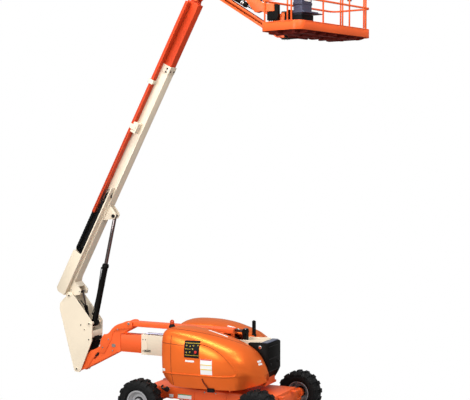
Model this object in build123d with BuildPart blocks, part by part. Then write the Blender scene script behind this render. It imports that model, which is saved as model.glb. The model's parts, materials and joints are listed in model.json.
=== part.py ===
from build123d import *
import os
from math import atan2, cos, degrees, hypot, radians, sin

os.makedirs("parts", exist_ok=True)

# Articulating boom lift, millimetres. +X runs from the upright to the platform, +Y to the left,
# +Z up. The origin is on the ground below the slew axis.

# ---------------------------------------------------------------- driving sizes
pin_fit = 0.05  # radial clearance of a pin in its bore
slide_fit = 0.3  # clearance of sliding and turning faces
move_gap = 6.0  # clearance between pieces that move past each other

wheelbase = 2500.0
track = 2130.0
tyre_radius = 434.0
tyre_width = 340.0
lug_height = 26.0
lug_root = 44.0  # how far a lug reaches into the carcass
lug_thickness = 78.0
lug_count = 16
rim_radius = 228.0
rim_width = 270.0
hub_radius = 118.0
kingpin_y = 760.0
kingpin_radius = 32.0

frame_half_width = 520.0
frame_bottom = 420.0
frame_top = 640.0
axle_half_depth = 120.0
axle_beam_height = 190.0
bearing_radius = 470.0
bearing_height = 70.0
turret_height = 60.0

deck_bottom = frame_top + turret_height + bearing_height + slide_fit
deck_thickness = 40.0
slot_half_width = 300.0  # the gap between the hoods that the booms fold into
hood_wall = 12.0

tower_half_width = 150.0
tower_depth = 400.0
tower_wall = 12.0
tower_fly_half_width = 132.0
tower_fly_depth = 356.0
tower_hinge = (900.0, 1385.0)  # from the slew axis, and up
tower_base_length = 2640.0

upright_half_gap = 190.0
upright_plate = 20.0
main_pivot = (-3432.0, 2287.0)
upright_foot = (-3256.0, 759.0)
boom_angle = 62.5
boom_half_width = 120.0
boom_bottom = 60.0  # boom's underside above the line through the main pivot
boom_depth = 290.0
boom_wall = 8.0
boom_base_start = -20.0
boom_base_length = 5250.0
fly_half_width = 104.0
fly_depth = 258.0
fly_wall = 6.0
fly_start = 1800.0
fly_nose = 6710.0  # from the main pivot to the nose pin, along the boom
boom_collar = 130.0  # length of the bearing pads' collar at the base's tip
boom_pin_radius = 35.0

jib_angle = -32.5
jib_length = 1900.0
nose_step = (151.0, 222.0)  # from the nose pin to the lower jib pin
link_step = (-31.0, 352.0)  # from the lower jib pin to the upper one
jib_channel_half_width = 85.0
jib_channel_depth = 116.0
jib_channel_wall = 14.0
jib_box_half_width = 62.0
jib_box_wall = 10.0
jib_box_end = 60.0  # solid ends round the pins
jib_box_depth = 150.0
jib_pin_radius = 20.0

platform_angle = -13.0
rotator_from_lower_pin = 130.0
rotator_radius = 90.0
platform_offset = 720.0  # rotator axis to the platform's middle
platform_depth = 910.0
platform_width = 2440.0
platform_drop = 44.6  # platform's lowest edge below the lower jib pin
toe_height = 165.0
rail_height = 1100.0
rail_radius = 16.0
corner_radius = 160.0


# ---------------------------------------------------------------- places and planes
def side(y=0.0):
    """A plane that looks along the machine's width, with X to the right and Z up."""
    return Plane(origin=(0, y, 0), x_dir=(1, 0, 0), z_dir=(0, -1, 0))


def along(point, angle, y=0.0):
    """As side, but with its origin at a point and its X axis turned up by an angle."""
    turned = (cos(radians(angle)), 0, sin(radians(angle)))
    return Plane(origin=(point[0], y, point[1]), x_dir=turned, z_dir=(0, -1, 0))


def step(point, angle, forward, up=0.0):
    """The point that lies forward along a direction and up from it."""
    a = radians(angle)
    return (point[0] + forward * cos(a) - up * sin(a), point[1] + forward * sin(a) + up * cos(a))


def gap(a, b):
    return hypot(b[0] - a[0], b[1] - a[1])


def heading(a, b):
    return degrees(atan2(b[1] - a[1], b[0] - a[0]))


def write(piece, name):
    piece.part.label = name
    export_step(piece.part, "parts/" + name + ".step")


nose_pin = step(main_pivot, boom_angle, fly_nose, boom_bottom + boom_depth / 2)
jib_low = (nose_pin[0] + nose_step[0], nose_pin[1] + nose_step[1])
jib_high = (jib_low[0] + link_step[0], jib_low[1] + link_step[1])
jib_low_end = step(jib_low, jib_angle, jib_length)
jib_high_end = step(jib_high, jib_angle, jib_length)
rotator_x = jib_low_end[0] + rotator_from_lower_pin


# ---------------------------------------------------------------- wheels
def make_tyre(name, x, y):
    """A tyre on a Y axle: a rounded carcass and a ring of slanted lugs at each shoulder."""
    carcass = tyre_radius - lug_height
    half = tyre_width / 2
    lug_angle = 360.0 / lug_count
    centre = (x, y, tyre_radius)
    with BuildPart() as tyre:
        with BuildSketch(Plane(origin=centre, x_dir=(0, 1, 0), z_dir=(1, 0, 0))):
            with BuildLine():
                Polyline(
                    (-half * 0.72, rim_radius + slide_fit),
                    (half * 0.72, rim_radius + slide_fit),
                    (half * 0.95, rim_radius + 50),
                    (half * 0.93, carcass - 45),
                    (half * 0.72, carcass),
                    (-half * 0.72, carcass),
                    (-half * 0.93, carcass - 45),
                    (-half * 0.95, rim_radius + 50),
                    close=True,
                )
            make_face()
        revolve(axis=Axis(centre, (0, 1, 0)))
        for flank in (-1, 1):
            with BuildSketch(Plane.XZ.offset(-y - flank * half * 0.08)):
                with Locations((x, tyre_radius)):
                    with PolarLocations(carcass + lug_height / 2 - lug_root / 2, lug_count,
                                        90 + flank * lug_angle / 4):
                        Rectangle(lug_height + lug_root, lug_thickness)
            extrude(amount=-flank * half * 0.92)
        with BuildSketch(Plane(origin=centre, x_dir=(0, 1, 0), z_dir=(1, 0, 0))):
            with BuildLine():
                Polyline((0, 0), (half, 0), (half, tyre_radius - 66), (half * 0.82, tyre_radius - 6),
                         (half * 0.7, tyre_radius), (-half * 0.7, tyre_radius),
                         (-half * 0.82, tyre_radius - 6), (-half, tyre_radius - 66), (-half, 0), close=True)
            make_face()
        revolve(axis=Axis(centre, (0, 1, 0)), mode=Mode.INTERSECT)
    write(tyre, name)


def make_rim(name, x, y):
    """A dished steel rim, open on the inner side, with its centre bolted to the hub."""
    out = 1 if y > 0 else -1
    centre = (x, y, tyre_radius)
    w = rim_width / 2
    face = w - 95
    with BuildPart() as rim:
        with BuildSketch(Plane(origin=centre, x_dir=(0, out, 0), z_dir=(out, 0, 0))):
            with BuildLine():
                Polyline((-w, rim_radius - 12), (-w, rim_radius), (w, rim_radius), (w, rim_radius - 30),
                         (w - 10, rim_radius - 30), (face + 12, rim_radius - 30), (face + 12, hub_radius),
                         (face, hub_radius), (face, rim_radius - 42), (-w + 12, rim_radius - 12), close=True)
            make_face()
        revolve(axis=Axis(centre, (0, 1, 0)))
        with BuildSketch(Plane(origin=centre, x_dir=(1, 0, 0), z_dir=(0, out, 0)).offset(face)):
            Circle(hub_radius + 1)
        extrude(amount=12)
        with BuildSketch(Plane(origin=centre, x_dir=(1, 0, 0), z_dir=(0, out, 0)).offset(face)):
            Circle(hub_radius - 38)
        extrude(amount=70, taper=12)
    write(rim, name)


wheel_places = {
    "front_left": (wheelbase / 2, track / 2),
    "front_right": (wheelbase / 2, -track / 2),
    "rear_left": (-wheelbase / 2, track / 2),
    "rear_right": (-wheelbase / 2, -track / 2),
}
for place, (wheel_x, wheel_y) in wheel_places.items():
    make_tyre("tyre_" + place, wheel_x, wheel_y)
    make_rim("rim_" + place, wheel_x, wheel_y)

# ---------------------------------------------------------------- axles and chassis
rim_seat = track / 2 + rim_width / 2 - 95  # outside of the hub, where the rim's centre seats
hub_inner = rim_seat - 150
axle_top = tyre_radius + axle_beam_height / 2
steer_arm = 80.0

for name, way in (("left", 1), ("right", -1)):
    with BuildPart() as knuckle:
        with BuildSketch(Plane(origin=(wheelbase / 2, way * rim_seat, tyre_radius),
                               x_dir=(1, 0, 0), z_dir=(0, -way, 0))):
            Circle(hub_radius - 20)
        extrude(amount=rim_seat - hub_inner)
        with BuildSketch(Plane.XY.offset(tyre_radius - axle_beam_height / 2 + 45)):
            with Locations((wheelbase / 2, way * (kingpin_y + hub_inner) / 2)):
                Rectangle(110, hub_inner - kingpin_y + 20)
            with Locations((wheelbase / 2, way * kingpin_y)):
                Circle(62)
        extrude(amount=axle_beam_height - 90)
        with BuildSketch(Plane.XY.offset(tyre_radius - axle_beam_height / 2 - 20)):
            with Locations((wheelbase / 2, way * kingpin_y)):
                Circle(kingpin_radius)
        extrude(amount=axle_beam_height + 40)
        with BuildSketch(Plane.XY.offset(tyre_radius - 20)):
            with Locations((wheelbase / 2 - steer_arm, way * (kingpin_y + 35))):
                Rectangle(110, 50)
        extrude(amount=40)
    write(knuckle, "knuckle_" + name)

with BuildPart() as front_axle:
    with BuildSketch(Plane.YZ.offset(wheelbase / 2 - axle_half_depth)):
        with BuildLine():
            Polyline((-kingpin_y - 70, tyre_radius - 95), (-400, tyre_radius - 130),
                     (400, tyre_radius - 130),
                     (kingpin_y + 70, tyre_radius - 95), (kingpin_y + 70, axle_top), (400, axle_top + 60),
                     (-400, axle_top + 60), (-kingpin_y - 70, axle_top), close=True)
        make_face()
    extrude(amount=2 * axle_half_depth)
    with BuildSketch(Plane.XY.offset(tyre_radius - axle_beam_height / 2 + 39)):
        for way in (-1, 1):
            with Locations((wheelbase / 2, way * (kingpin_y + 20))):
                Rectangle(2 * axle_half_depth + 2, 190)
    extrude(amount=axle_beam_height - 78, mode=Mode.SUBTRACT)
    with BuildSketch(Plane.XY):
        for way in (-1, 1):
            with Locations((wheelbase / 2, way * kingpin_y)):
                Circle(kingpin_radius + pin_fit)
    extrude(amount=2 * tyre_radius, mode=Mode.SUBTRACT)
write(front_axle, "front_axle")

with BuildPart() as rear_axle:
    with BuildSketch(Plane.YZ.offset(-wheelbase / 2 - axle_half_depth)):
        with Locations((0, tyre_radius)):
            Rectangle(2 * hub_inner, axle_beam_height)
    extrude(amount=2 * axle_half_depth)
    with BuildSketch(Plane(origin=(-wheelbase / 2, -rim_seat, tyre_radius),
                           x_dir=(1, 0, 0), z_dir=(0, 1, 0))):
        Circle(hub_radius - 20)
    extrude(amount=2 * rim_seat)
write(rear_axle, "rear_axle")

tie_plate_length = 130.0
tie_plate_width = 120.0
tie_plate = 25.0
tie_x = wheelbase / 2 + axle_half_depth + tie_plate_length / 2 - tie_plate
tie_y = 330.0
tie_z = axle_top + 60.0  # the lugs' underside, level with the top plate's
tie_hole = 28.0
with BuildPart() as chassis:
    with BuildSketch(Plane.XY.offset(frame_bottom)):
        with Locations((0, 0)):
            Rectangle(2 * (wheelbase / 2 - axle_half_depth), 2 * frame_half_width)
    extrude(amount=frame_top - frame_bottom)
    with BuildSketch(Plane.XY.offset(axle_top + 60)):
        with Locations((0, 0)):
            Rectangle(wheelbase + 2 * axle_half_depth, 2 * frame_half_width)
    extrude(amount=frame_top - axle_top - 60)
    with BuildSketch(Plane.XY.offset(frame_top)):
        with Locations((0, 0)):
            Circle(bearing_radius + 20)
    extrude(amount=turret_height)
    with BuildSketch(Plane.XY.offset(tie_z)):
        with GridLocations(2 * tie_x, 2 * tie_y, 2, 2):
            RectangleRounded(tie_plate_length, tie_plate_width, tie_hole / 2)
            Circle(tie_hole, mode=Mode.SUBTRACT)
    extrude(amount=tie_plate)
write(chassis, "chassis")

with BuildPart() as bearing:
    with BuildSketch(Plane.XY.offset(frame_top + turret_height)):
        with Locations((0, 0)):
            Circle(bearing_radius)
            Circle(bearing_radius - 110, mode=Mode.SUBTRACT)
    extrude(amount=bearing_height)
write(bearing, "slew_bearing")

# ---------------------------------------------------------------- turntable
deck_top = deck_bottom + deck_thickness
deck_left = -740.0
deck_right = 1060.0
cheek_y = tower_half_width + 30.0
cheek_plate = 30.0
tower_lift_foot = (720.0, 950.0)

tray_half_width = 920.0  # the deck's wings below the hoods
tray_length_x = 1060.0
tray_x = 110.0
hood_posts = (-600.0, 130.0)
post_y = 250.0
hood_hinge_y = 275.0
hood_hinge_z = 1745.0
hinge_radius = 18.0

with BuildPart() as turntable:
    with BuildSketch(Plane.XY.offset(deck_bottom)):
        with Locations((0, 0)):
            Circle(bearing_radius + 60)
        with Locations(((deck_left + deck_right) / 2, 0)):
            Rectangle(deck_right - deck_left, 2 * (post_y + 30))
    extrude(amount=deck_thickness)
    with BuildSketch(Plane.XY.offset(deck_bottom)):
        with Locations((tray_x, 0)):
            Rectangle(tray_length_x, 2 * tray_half_width)
    extrude(amount=deck_thickness)
    for way in (-1, 1):
        with BuildSketch(Plane.XY.offset(deck_bottom)):
            for post in hood_posts:
                with Locations((post, way * post_y)):
                    Rectangle(60, 50)
        extrude(amount=hood_hinge_z - deck_bottom)
        for post in hood_posts:
            with BuildSketch(Plane.YZ.offset(post - 30)):
                with Locations((way * hood_hinge_y, hood_hinge_z)):
                    Circle(hinge_radius)
            extrude(amount=60)
        with BuildSketch(side(way * (cheek_y + cheek_plate / 2))):
            with BuildLine():
                Polyline((300, deck_top - 1), (deck_right, deck_top - 1), (deck_right, 1260),
                         step(tower_hinge, 0, 90, 90), step(tower_hinge, 0, -90, 90),
                         (tower_lift_foot[0] - 260, deck_top + 190), (300, deck_top + 60), close=True)
            make_face()
        extrude(amount=cheek_plate / 2, both=True)
    with BuildSketch(side()):
        with Locations(tower_hinge):
            Circle(boom_pin_radius)
        with Locations(tower_lift_foot):
            Circle(30)
    extrude(amount=cheek_y + cheek_plate, both=True)
    with BuildSketch(side()):
        with Locations((deck_right - 15, 1025)):
            Rectangle(30, 470)
    extrude(amount=cheek_y + 5, both=True)
write(turntable, "turntable")

weight_half_width = slot_half_width - 4.0
weight_slot = cheek_y + cheek_plate + move_gap
weight_left = 720.0
weight_right = 1140.0
weight_top = 1600.0
with BuildPart() as counterweight:
    with BuildSketch(side()):
        with BuildLine():
            Polyline((weight_left, deck_top), (weight_left, weight_top),
                     (weight_right - 120, weight_top + 15), (weight_right - 15, weight_top))
            ThreePointArc((weight_right - 15, weight_top), (weight_right - 4, weight_top - 15),
                          (weight_right, weight_top - 40))
            Polyline((weight_right, weight_top - 40), (weight_right, 1075))
            ThreePointArc((weight_right, 1075), (weight_right - 55, 960), (weight_right - 160, deck_top))
            Line((weight_right - 160, deck_top), (weight_left, deck_top))
        make_face()
    extrude(amount=weight_half_width, both=True)
    with BuildSketch(side()):
        with Locations(((weight_left + deck_right) / 2, (deck_top + weight_top) / 2)):
            Rectangle(deck_right - weight_left, 2 * weight_top)
    extrude(amount=weight_slot, both=True, mode=Mode.SUBTRACT)
write(counterweight, "counterweight")

hood_inner = slot_half_width + 4.0
hood_roof_fall = 60.0  # from the roof's crest down to its inner edge
hood_sections = (  # x, roof, crest y, widest y, height of the widest, foot y, bottom
    (-800.0, 1760.0, 640.0, 1040.0, 1400.0, 980.0, 1060.0),
    (-745.0, 1860.0, 640.0, 1095.0, 1400.0, 1010.0, 985.0),
    (-600.0, 1905.0, 635.0, 1118.0, 1390.0, 1000.0, 870.0),
    (-430.0, 1898.0, 630.0, 1125.0, 1380.0, 985.0, 806.0),
    (100.0, 1838.0, 625.0, 1125.0, 1330.0, 985.0, 800.0),
    (480.0, 1762.0, 610.0, 1105.0, 1280.0, 960.0, 800.0),
    (800.0, 1635.0, 560.0, 1020.0, 1220.0, 850.0, 805.0),
    (980.0, 1450.0, 500.0, 850.0, 1150.0, 700.0, 830.0),
    (1090.0, 1255.0, 430.0, 660.0, 1080.0, 560.0, 860.0),
    (1150.0, 1090.0, 380.0, 520.0, 1000.0, 460.0, 895.0),
)
hood_tail_from = -430.0  # behind this the engine's hood is drawn out, by engine_tail
hood_nose_from = 480.0  # ahead of this it is shortened, by engine_nose
engine_tail = 1.95
engine_nose = 0.82
hood_flange_z = hood_hinge_z - 40.0


def make_hood(name, way, tail, nose):
    """A moulded shell over one side of the turntable, open below and towards the booms."""
    with BuildPart() as hood:
        for shrink, how in ((0.0, Mode.ADD), (hood_wall, Mode.SUBTRACT)):
            for x, roof, crest, widest, middle, foot, bottom in hood_sections:
                roof -= shrink
                widest -= shrink
                foot -= shrink
                inner = hood_inner + shrink
                bottom -= 4 * shrink
                edge = roof - hood_roof_fall
                x += shrink if x == hood_sections[0][0] else -shrink if x == hood_sections[-1][0] else 0.0
                if x < hood_tail_from:
                    x = hood_tail_from + tail * (x - hood_tail_from)
                if x > hood_nose_from:
                    x = hood_nose_from + nose * (x - hood_nose_from)
                shoulder = (way * (crest + 0.78 * (widest - crest)), middle + 0.72 * (roof - middle))
                tuck = (way * (widest - 0.24 * (widest - foot)), bottom + 0.42 * (middle - bottom))
                with BuildSketch(Plane.YZ.offset(x)):
                    with BuildLine():
                        Line((way * foot, bottom), (way * inner, bottom))
                        Line((way * inner, bottom), (way * inner, edge))
                        ThreePointArc((way * inner, edge),
                                      (way * (0.5 * inner + 0.5 * crest), roof - 0.28 * hood_roof_fall),
                                      (way * crest, roof))
                        ThreePointArc((way * crest, roof), shoulder, (way * widest, middle))
                        ThreePointArc((way * widest, middle), tuck, (way * foot, bottom))
                    make_face()
            loft(mode=how)
        with BuildSketch(Plane.XY.offset(hood_flange_z)):
            with Locations((0, way * hood_inner)):
                Rectangle(2400, 2 * hood_wall + 4)
        extrude(amount=-hood_flange_z, mode=Mode.SUBTRACT)
        for post in hood_posts:
            with BuildSketch(Plane.YZ.offset(post + 30 + slide_fit)):
                with Locations((way * hood_hinge_y, hood_hinge_z)):
                    Circle(hinge_radius)
                with Locations((way * (hood_hinge_y + hood_inner + 2) / 2, hood_hinge_z)):
                    Rectangle(hood_inner + 2 - hood_hinge_y, 2 * hinge_radius)
            extrude(amount=60)
    write(hood, name)


make_hood("hood_left", 1, engine_tail, engine_nose)
make_hood("hood_right", -1, 1.0, 1.0)

block_y = 640.0  # middle of the heavy blocks under the hoods
engine_size = (760.0, 480.0, 620.0)
tank_size = (900.0, 420.0, 540.0)
with BuildPart() as engine:
    with BuildSketch(Plane.XY.offset(deck_top)):
        with Locations((tray_x, block_y)):
            Rectangle(engine_size[0], engine_size[1])
    extrude(amount=engine_size[2])
write(engine, "engine")

with BuildPart() as tank:
    with BuildSketch(Plane.XY.offset(deck_top)):
        with Locations((tray_x + 40, -block_y)):
            Rectangle(tank_size[0], tank_size[1])
    extrude(amount=tank_size[2])
write(tank, "tank")

# ---------------------------------------------------------------- tower boom
tower_lift_eye = (-900.0, 1050.0)
tower_base_near = 120.0  # how far the tower's box starts from its hinge
tower_collar = 120.0
with BuildPart() as tower_base:
    top = tower_hinge[1] + tower_depth / 2 - 20
    with BuildSketch(Plane.YZ.offset(tower_hinge[0] - tower_base_length)):
        with Locations((0, top - tower_depth / 2)):
            Rectangle(2 * tower_half_width, tower_depth)
            Rectangle(2 * (tower_half_width - tower_wall), tower_depth - 2 * tower_wall,
                      mode=Mode.SUBTRACT)
    extrude(amount=tower_base_length - tower_base_near)
    with BuildSketch(side()):
        with BuildLine():
            Polyline((tower_hinge[0] - tower_base_near - 200, top), (tower_hinge[0] - 40, top),
                     (tower_hinge[0] + 60, tower_hinge[1] + 70), (tower_hinge[0] + 60, tower_hinge[1] - 70),
                     (tower_hinge[0] - tower_base_near - 200, top - tower_depth), close=True)
        make_face()
    extrude(amount=tower_half_width, both=True)
    with BuildSketch(side()):
        with Locations(tower_hinge):
            Circle(boom_pin_radius + pin_fit)
    extrude(amount=2 * tower_half_width, both=True, mode=Mode.SUBTRACT)
    with BuildSketch(Plane.YZ.offset(tower_hinge[0] - tower_base_length)):
        with Locations((0, top - tower_depth / 2)):
            Rectangle(2 * tower_half_width, tower_depth)
            Rectangle(2 * (tower_fly_half_width + slide_fit), tower_fly_depth + 2 * slide_fit,
                      mode=Mode.SUBTRACT)
    extrude(amount=tower_collar)
    for way in (-1, 1):
        with BuildSketch(side(way * 60)):
            with BuildLine():
                Polyline((tower_lift_eye[0] - 120, top - tower_depth + 2), step(tower_lift_eye, 0, -50, -45),
                         step(tower_lift_eye, 0, 50, -45),
                         (tower_lift_eye[0] + 120, top - tower_depth + 2), close=True)
            make_face()
        extrude(amount=10, both=True)
write(tower_base, "tower_base")


def across(point, angle, forward, up=0.0):
    """A plane square to a direction, forward along it: X is the machine's +Y, Y is the boom's up."""
    x, z = step(point, angle, forward, up)
    turned = (cos(radians(angle)), 0, sin(radians(angle)))
    return Plane(origin=(x, 0, z), x_dir=(0, 1, 0), z_dir=turned)


def make_barrel(foot, eye, length, radius, rod_radius, half_width, pin_radius, foot_radius=None):
    """A cylinder's barrel: a tube with a foot eye, open at its gland for the rod."""
    angle = heading(foot, eye)
    foot_radius = foot_radius or radius
    with BuildPart() as barrel:
        with BuildSketch(across(foot, angle, foot_radius * 0.6)):
            Circle(radius)
        extrude(amount=length - foot_radius * 0.6)
        with BuildSketch(across(foot, angle, length - 60)):
            Circle(radius + 6)
        extrude(amount=60)
        with BuildSketch(along(foot, angle)):
            Circle(foot_radius)
        extrude(amount=half_width, both=True)
        with BuildSketch(across(foot, angle, foot_radius + 30)):
            Circle(rod_radius + slide_fit)
        extrude(amount=2 * length, mode=Mode.SUBTRACT)
        with BuildSketch(along(foot, angle)):
            Circle(pin_radius + pin_fit)
        extrude(amount=2 * half_width, both=True, mode=Mode.SUBTRACT)
    return barrel


def make_rod(foot, eye, barrel_length, travel, rod_radius, eye_radius, half_width):
    """A chromed rod that ends in its eye, long enough to stay inside the barrel."""
    angle = heading(foot, eye)
    out = gap(foot, eye) - barrel_length
    with BuildPart() as rod:
        with BuildSketch(across(eye, angle, 0)):
            Circle(rod_radius)
        extrude(amount=-(out + travel + 60))
        with BuildSketch(along(eye, angle)):
            Circle(eye_radius)
        extrude(amount=half_width, both=True)
    return rod


# ---------------------------------------------------------------- tower fly, its cylinder, tower lift
fly_left = -2330.0
fly_right = 370.0
fly_mid_z = tower_hinge[1] - 20
extend_pin = (-2037.0, 1775.0)
extend_half_width = 112.0
extend_half_depth = 48.0
extend_rod_radius = 28.0
s_plate = 25.0
foot_boss = 80.0

s_curve = ((-1960, 1800), (-1987, 1824), (-2047, 1829), (-2107, 1817), (-2175, 1787),
           (-2243, 1765), (-2381, 1692), (-2470, 1600), (-2540, 1538), (-2625, 1520),
           (-2685, 1426), (-2722, 1265), (-2805, 1213),
           (-2935, 1160), (-3040, 1054), (-3150, 880))


def s_back():
    """The upper edge of the plate that reaches from the telescope down to the upright's foot."""
    Line(s_curve[0], s_curve[1])
    for start, middle, end in zip(s_curve[1::2], s_curve[2::2], s_curve[3::2]):
        ThreePointArc(start, middle, end)


with BuildPart() as tower_fly:
    with BuildSketch(Plane.YZ.offset(fly_left)):
        with Locations((0, fly_mid_z)):
            Rectangle(2 * tower_fly_half_width, tower_fly_depth)
            Rectangle(2 * (tower_fly_half_width - 10), tower_fly_depth - 20, mode=Mode.SUBTRACT)
    extrude(amount=fly_right - fly_left)
    for way in (-1, 1):
        with BuildSketch(side(way * (tower_fly_half_width + s_plate / 4))):
            with BuildLine():
                s_back()
                Polyline(s_curve[-1], (upright_foot[0], upright_foot[1] + foot_boss - 5),
                         (upright_foot[0], upright_foot[1] - foot_boss + 5), (-3028, 793), (-2317, 1165),
                         (-2240, fly_mid_z - tower_fly_depth / 2), (-2240, fly_mid_z + tower_fly_depth / 2),
                         (-1960, 1690), s_curve[0])
            make_face()
            with BuildLine():
                Polyline((-2885, 1000), (-2765, 1145), (-2730, 1118), (-2855, 970), close=True)
            make_face(mode=Mode.SUBTRACT)
        extrude(amount=s_plate / 4, both=True)
        with BuildSketch(side(way * (tower_fly_half_width + 3 * s_plate / 4))):
            with BuildLine():
                s_back()
                Polyline(s_curve[-1], (upright_foot[0] - 60, upright_foot[1] + 50),
                         (upright_foot[0] - 20, upright_foot[1] - foot_boss + 6), (-3028, 793),
                         (-2885, 1000),
                         (-2765, 1145), (-2621, 1120), (-2444, 1432), (-2410, 1571), (-2330, 1640),
                         (-1960, 1690), s_curve[0])
            make_face()
            with Locations(upright_foot):
                Circle(foot_boss)
        extrude(amount=s_plate / 4, both=True)
        with BuildSketch(side(way * (tower_fly_half_width + s_plate))):
            with Locations(upright_foot):
                Circle(foot_boss - 15)
        extrude(amount=-way * (upright_half_gap - tower_fly_half_width - s_plate - slide_fit))
    with BuildSketch(side()):
        with Locations(upright_foot):
            Circle(boom_pin_radius + pin_fit)
    extrude(amount=upright_half_gap, both=True, mode=Mode.SUBTRACT)
write(tower_fly, "tower_fly")

tower_extend_stroke = 1500.0
extend_right = 300.0
with BuildPart() as extend_barrel:
    with BuildSketch(Plane.YZ.offset(extend_pin[0] - 40)):
        with Locations((0, extend_pin[1] - 12)):
            RectangleRounded(2 * extend_half_width, 2 * extend_half_depth, 12)
    extrude(amount=extend_right - extend_pin[0] + 40)
    with BuildSketch(side()):
        with Locations(extend_pin):
            Circle(30)
    extrude(amount=tower_fly_half_width, both=True)
    with BuildSketch(Plane.YZ.offset(extend_pin[0] + 60)):
        with Locations((0, extend_pin[1])):
            Circle(extend_rod_radius + slide_fit)
    extrude(amount=2 * (extend_right - extend_pin[0]), mode=Mode.SUBTRACT)
write(extend_barrel, "tower_extend_barrel")

extend_rod_end = 500.0
with BuildPart() as extend_rod:
    with BuildSketch(Plane.YZ.offset(extend_right - tower_extend_stroke - 200)):
        with Locations((0, extend_pin[1])):
            Circle(extend_rod_radius)
    extrude(amount=extend_rod_end - extend_right + tower_extend_stroke + 200)
    with BuildSketch(Plane.XY.offset(tower_hinge[1] + tower_depth / 2 - 20)):
        with Locations((extend_rod_end + 20, 0)):
            Rectangle(60, 120)
    extrude(amount=extend_pin[1] + 50 - (tower_hinge[1] + tower_depth / 2 - 20))
write(extend_rod, "tower_extend_rod")

tower_lift_barrel_length = 1430.0
tower_lift_travel = 540.0
tower_lift_rod_radius = 34.0
write(make_barrel(tower_lift_foot, tower_lift_eye, tower_lift_barrel_length, 62, tower_lift_rod_radius,
                  90, 30), "tower_lift_barrel")
write(make_rod(tower_lift_foot, tower_lift_eye, tower_lift_barrel_length, tower_lift_travel,
               tower_lift_rod_radius, 42, 40), "tower_lift_rod")

# ---------------------------------------------------------------- upright
lift_foot = (-2946.0, 1723.0)
lift_eye_at = 1950.0
lift_eye_up = -110.0
lift_eye = step(main_pivot, boom_angle, lift_eye_at, lift_eye_up)
level_foot = (-3060.0, 1600.0)
level_eye = step(main_pivot, boom_angle, 165, -145)
upright_crown = ((121, -13), (72, 23), (-73, -25), (-128, -62), (-229, -169), (-237, -300))
upright_toe = ((-84, 27), (-54, -59), (56, -69), (103, -9), (368, 607))
with BuildPart() as upright:
    for way in (-1, 1):
        with BuildSketch(side(way * (upright_half_gap + upright_plate / 2))):
            with BuildLine():
                Polyline(*[step(main_pivot, 0, dx, dz) for dx, dz in upright_crown],
                         *[step(upright_foot, 0, dx, dz) for dx, dz in upright_toe],
                         step(lift_foot, 0, 71, 40), close=True)
            make_face()
            with Locations(main_pivot):
                Circle(78)
        extrude(amount=upright_plate / 2, both=True)
    with BuildSketch(side()):
        with BuildLine():
            Polyline(step(main_pivot, 0, -223, -337), step(upright_foot, 0, -169, 351),
                     step(upright_foot, 0, -149, 356), step(main_pivot, 0, -201, -332), close=True)
        make_face()
        with BuildLine():
            Polyline(step(lift_foot, 0, 46, -323), step(lift_foot, 0, 53, -153),
                     step(lift_foot, 0, 33, -153), step(lift_foot, 0, 26, -318), close=True)
        make_face()
    extrude(amount=upright_half_gap + 5, both=True)
    with BuildSketch(side()):
        with Locations(main_pivot, upright_foot):
            Circle(boom_pin_radius)
        with Locations(lift_foot):
            Circle(32)
        with Locations(level_foot):
            Circle(18)
    extrude(amount=upright_half_gap + upright_plate + 12, both=True)
write(upright, "upright")

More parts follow.
